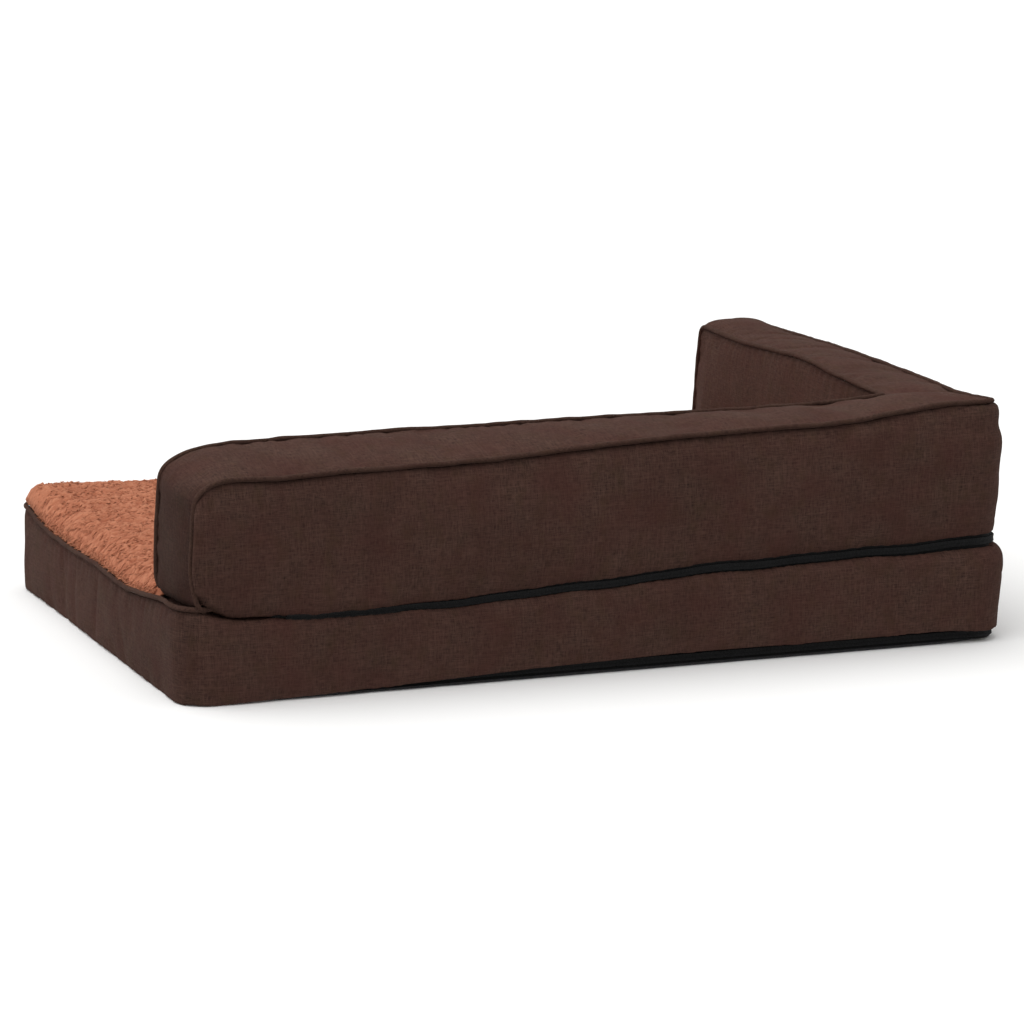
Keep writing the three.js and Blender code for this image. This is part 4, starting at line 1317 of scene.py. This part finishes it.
def make_base():
    """The black panel underneath, with rows of grip dots."""
    low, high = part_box("mattress_base_panel")
    line = Line([(0, -HALF_Y), (HALF_X, -HALF_Y), (HALF_X, HALF_Y), (-HALF_X, HALF_Y), (-HALF_X, -HALF_Y),
                 (0, -HALF_Y)], CORNER)
    s = np.linspace(0, line.length, BASE_COLUMNS, endpoint=False)
    x, y = line.at(s)
    q = np.where((y > 0) | (x < 0), WALL.near(x, y), 0)
    run = np.where((y > 0) | (x < -0.3), in_zip_run(q), 0)
    x, y = line.at(s, -4 * MM + run * 2.2 * MM - 9 * MM * run * near_back_right(q, 0.03))
    verts = np.concatenate([grid(x, y, BASE_TOP), grid(x, y, BASE_BOTTOM)])
    panel = make_object("base_cloth", verts, tubes(2, len(s)), GRIP, verts[:, :2], smooth=False)
    settle(panel, "mattress_base_panel", slot="anti_slip")

    xs = np.arange(low.x + 16 * MM, high.x - 14 * MM, DOT_PITCH)
    ys = np.arange(low.y + 16 * MM, high.y - 14 * MM, DOT_PITCH / 2)
    gx, gy = np.meshgrid(xs, ys, indexing="ij")
    gx = gx + (np.arange(len(ys)) % 2)[None] * DOT_PITCH / 2
    past_x = np.maximum(np.abs(gx) - (high.x - 36 * MM), 0)
    past_y = np.maximum(np.abs(gy) - (high.y - 36 * MM), 0)
    keep = (np.abs(gx) < high.x - 10 * MM) & (np.hypot(past_x, past_y) < 28 * MM)
    gx, gy = gx[keep], gy[keep]
    turn = np.linspace(0, 2 * math.pi, DOT_SIDES + 1)[:-1]
    rings = [(DOT_RADIUS, BASE_BOTTOM + 0.05 * MM), (DOT_RADIUS * 0.9, 0.15 * MM), (DOT_RADIUS * 0.55, 0.0)]
    points = np.stack([
        grid(gx[:, None] + radius * np.cos(turn), gy[:, None] + radius * np.sin(turn), z) for radius, z in rings
    ], axis=1)
    verts = points.reshape(-1, 3)
    dots = make_object("base_grip_dots", verts, tubes(len(rings), DOT_SIDES, len(gx)), GRIP, verts[:, :2])
    settle(dots, slot="anti_slip")


FOAM_INSET = 7 * MM  # of each foam's sides from its CAD block, and of its top from the band
FOAM_SINK = 9 * MM  # of the mattress foam's top, more than that
FOAM_GRAIN = 8 * MM  # size of a foam block's faces
SHORT_FOAM_TOP = 208 * MM
FOAM_FILL = 1.0


def squashed(co, low, high):
    """Heights of a bolster block's points, drawn down under the slope of the top band."""
    x, y = co[:, 0].astype(float), co[:, 1].astype(float)
    long_way = np.clip((HALF_Y - y) / (HALF_Y - INNER_Y), 0, 1)
    short_way = np.clip((x + HALF_X) / (INNER_X + HALF_X), 0, 1)
    long_top = outer_top(np.maximum(back_q(x), 0.01)) * (1 - long_way)
    long_top = long_top + inner_long_top(np.minimum(x, 0.355)) * long_way
    short_top = outer_top(side_q(np.maximum(y, -0.25))) * (1 - short_way)
    short_top = short_top + inner_short_top(np.maximum(y, -0.22)) * short_way
    level = np.where(x < INNER_X, np.minimum(short_top, SHORT_FOAM_TOP), long_top) - FOAM_INSET
    return low + (co[:, 2] - low) * np.minimum((level - low) / (high - low), 1)


def make_foam(name, node):
    """A block of foam inside the covers, made from the CAD block and drawn in a little."""
    block = bpy.data.objects.new(name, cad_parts[node].data.copy())
    bpy.context.scene.collection.objects.link(block)
    remesh = block.modifiers.new("remesh", "REMESH")
    remesh.mode = "VOXEL"
    remesh.voxel_size = FOAM_GRAIN
    apply_modifiers(block)
    mesh = block.data
    count = len(mesh.vertices)
    co, normal = np.empty(count * 3, np.float32), np.empty(count * 3, np.float32)
    mesh.vertices.foreach_get("co", co)
    mesh.vertex_normals.foreach_get("vector", normal)
    co, normal = co.reshape(-1, 3), normal.reshape(-1, 3)
    low, high = co.min(0) + FOAM_INSET, co.max(0) - FOAM_INSET
    if node == "mattress_foam":
        high[2] -= FOAM_SINK
    co = np.clip(co - normal * FOAM_INSET, low, high)
    if node != "mattress_foam":
        co[:, 2] = squashed(co, low[2], high[2])
    mesh.vertices.foreach_set("co", co.astype(np.float32).ravel())
    mesh.materials.clear()
    mesh.materials.append(FOAM)
    mesh.update()
    settle(block, node, slot="foam", fill=FOAM_FILL)


# ---- Light and floor ----


SKY_FROM = Vector((0.34, -0.06, 0.94))
BED_MIDDLE = Vector((0, 0, 0.08))


def make_light():
    world = bpy.data.worlds.new("world")
    bpy.context.scene.world = world
    world.use_nodes = True
    background = world.node_tree.nodes["Background"]
    background.inputs["Color"].default_value = (1, 0.995, 0.985, 1)
    background.inputs["Strength"].default_value = 0.62
    sun = bpy.data.lights.new("sky", "SUN")
    sun.energy = 2.1
    sun.angle = math.radians(70)
    lamp = bpy.data.objects.new("sky", sun)
    lamp.rotation_euler = SKY_FROM.to_track_quat("Z", "Y").to_euler()
    bpy.context.scene.collection.objects.link(lamp)
    fill = bpy.data.lights.new("fill", "AREA")
    fill.size = 2.0
    fill.energy = 9
    fill.color = (1, 0.99, 0.97)
    lamp = bpy.data.objects.new("fill", fill)
    lamp.location = 2.8, 3.4, 1.4
    lamp.rotation_euler = (BED_MIDDLE - lamp.location).to_track_quat("-Z", "Y").to_euler()
    bpy.context.scene.collection.objects.link(lamp)


def make_floor():
    s = Shade("floor", Roughness=0.85, Specular_IOR_Level=0.2)
    place = s.node("NewGeometry")
    speck = s.noise(place, 3, 3, 3, detail=2.0)
    s.finish(s.mix(speck, linear(246, 246, 245), linear(250, 250, 250)))
    span = 30.0  # half the floor's side
    floor = make_object("floor", [(-span, -span, 0), (span, -span, 0), (span, span, 0), (-span, span, 0)],
                        [[0, 1, 2, 3]], s.material)
    floor.location.z = -0.2 * MM
    floor.visible_diffuse = False


# ---- Scene ----

make_camera()
make_light()
make_floor()
make_mattress()
make_fleece()
make_bolster()
make_zips()
make_base()
for node in ("mattress_foam", "bolster_long_foam", "bolster_short_foam"):
    make_foam(f"{node}_block", node)
press_out()

view = bpy.context.scene.view_settings
view.view_transform = "Standard"
view.look = "None"
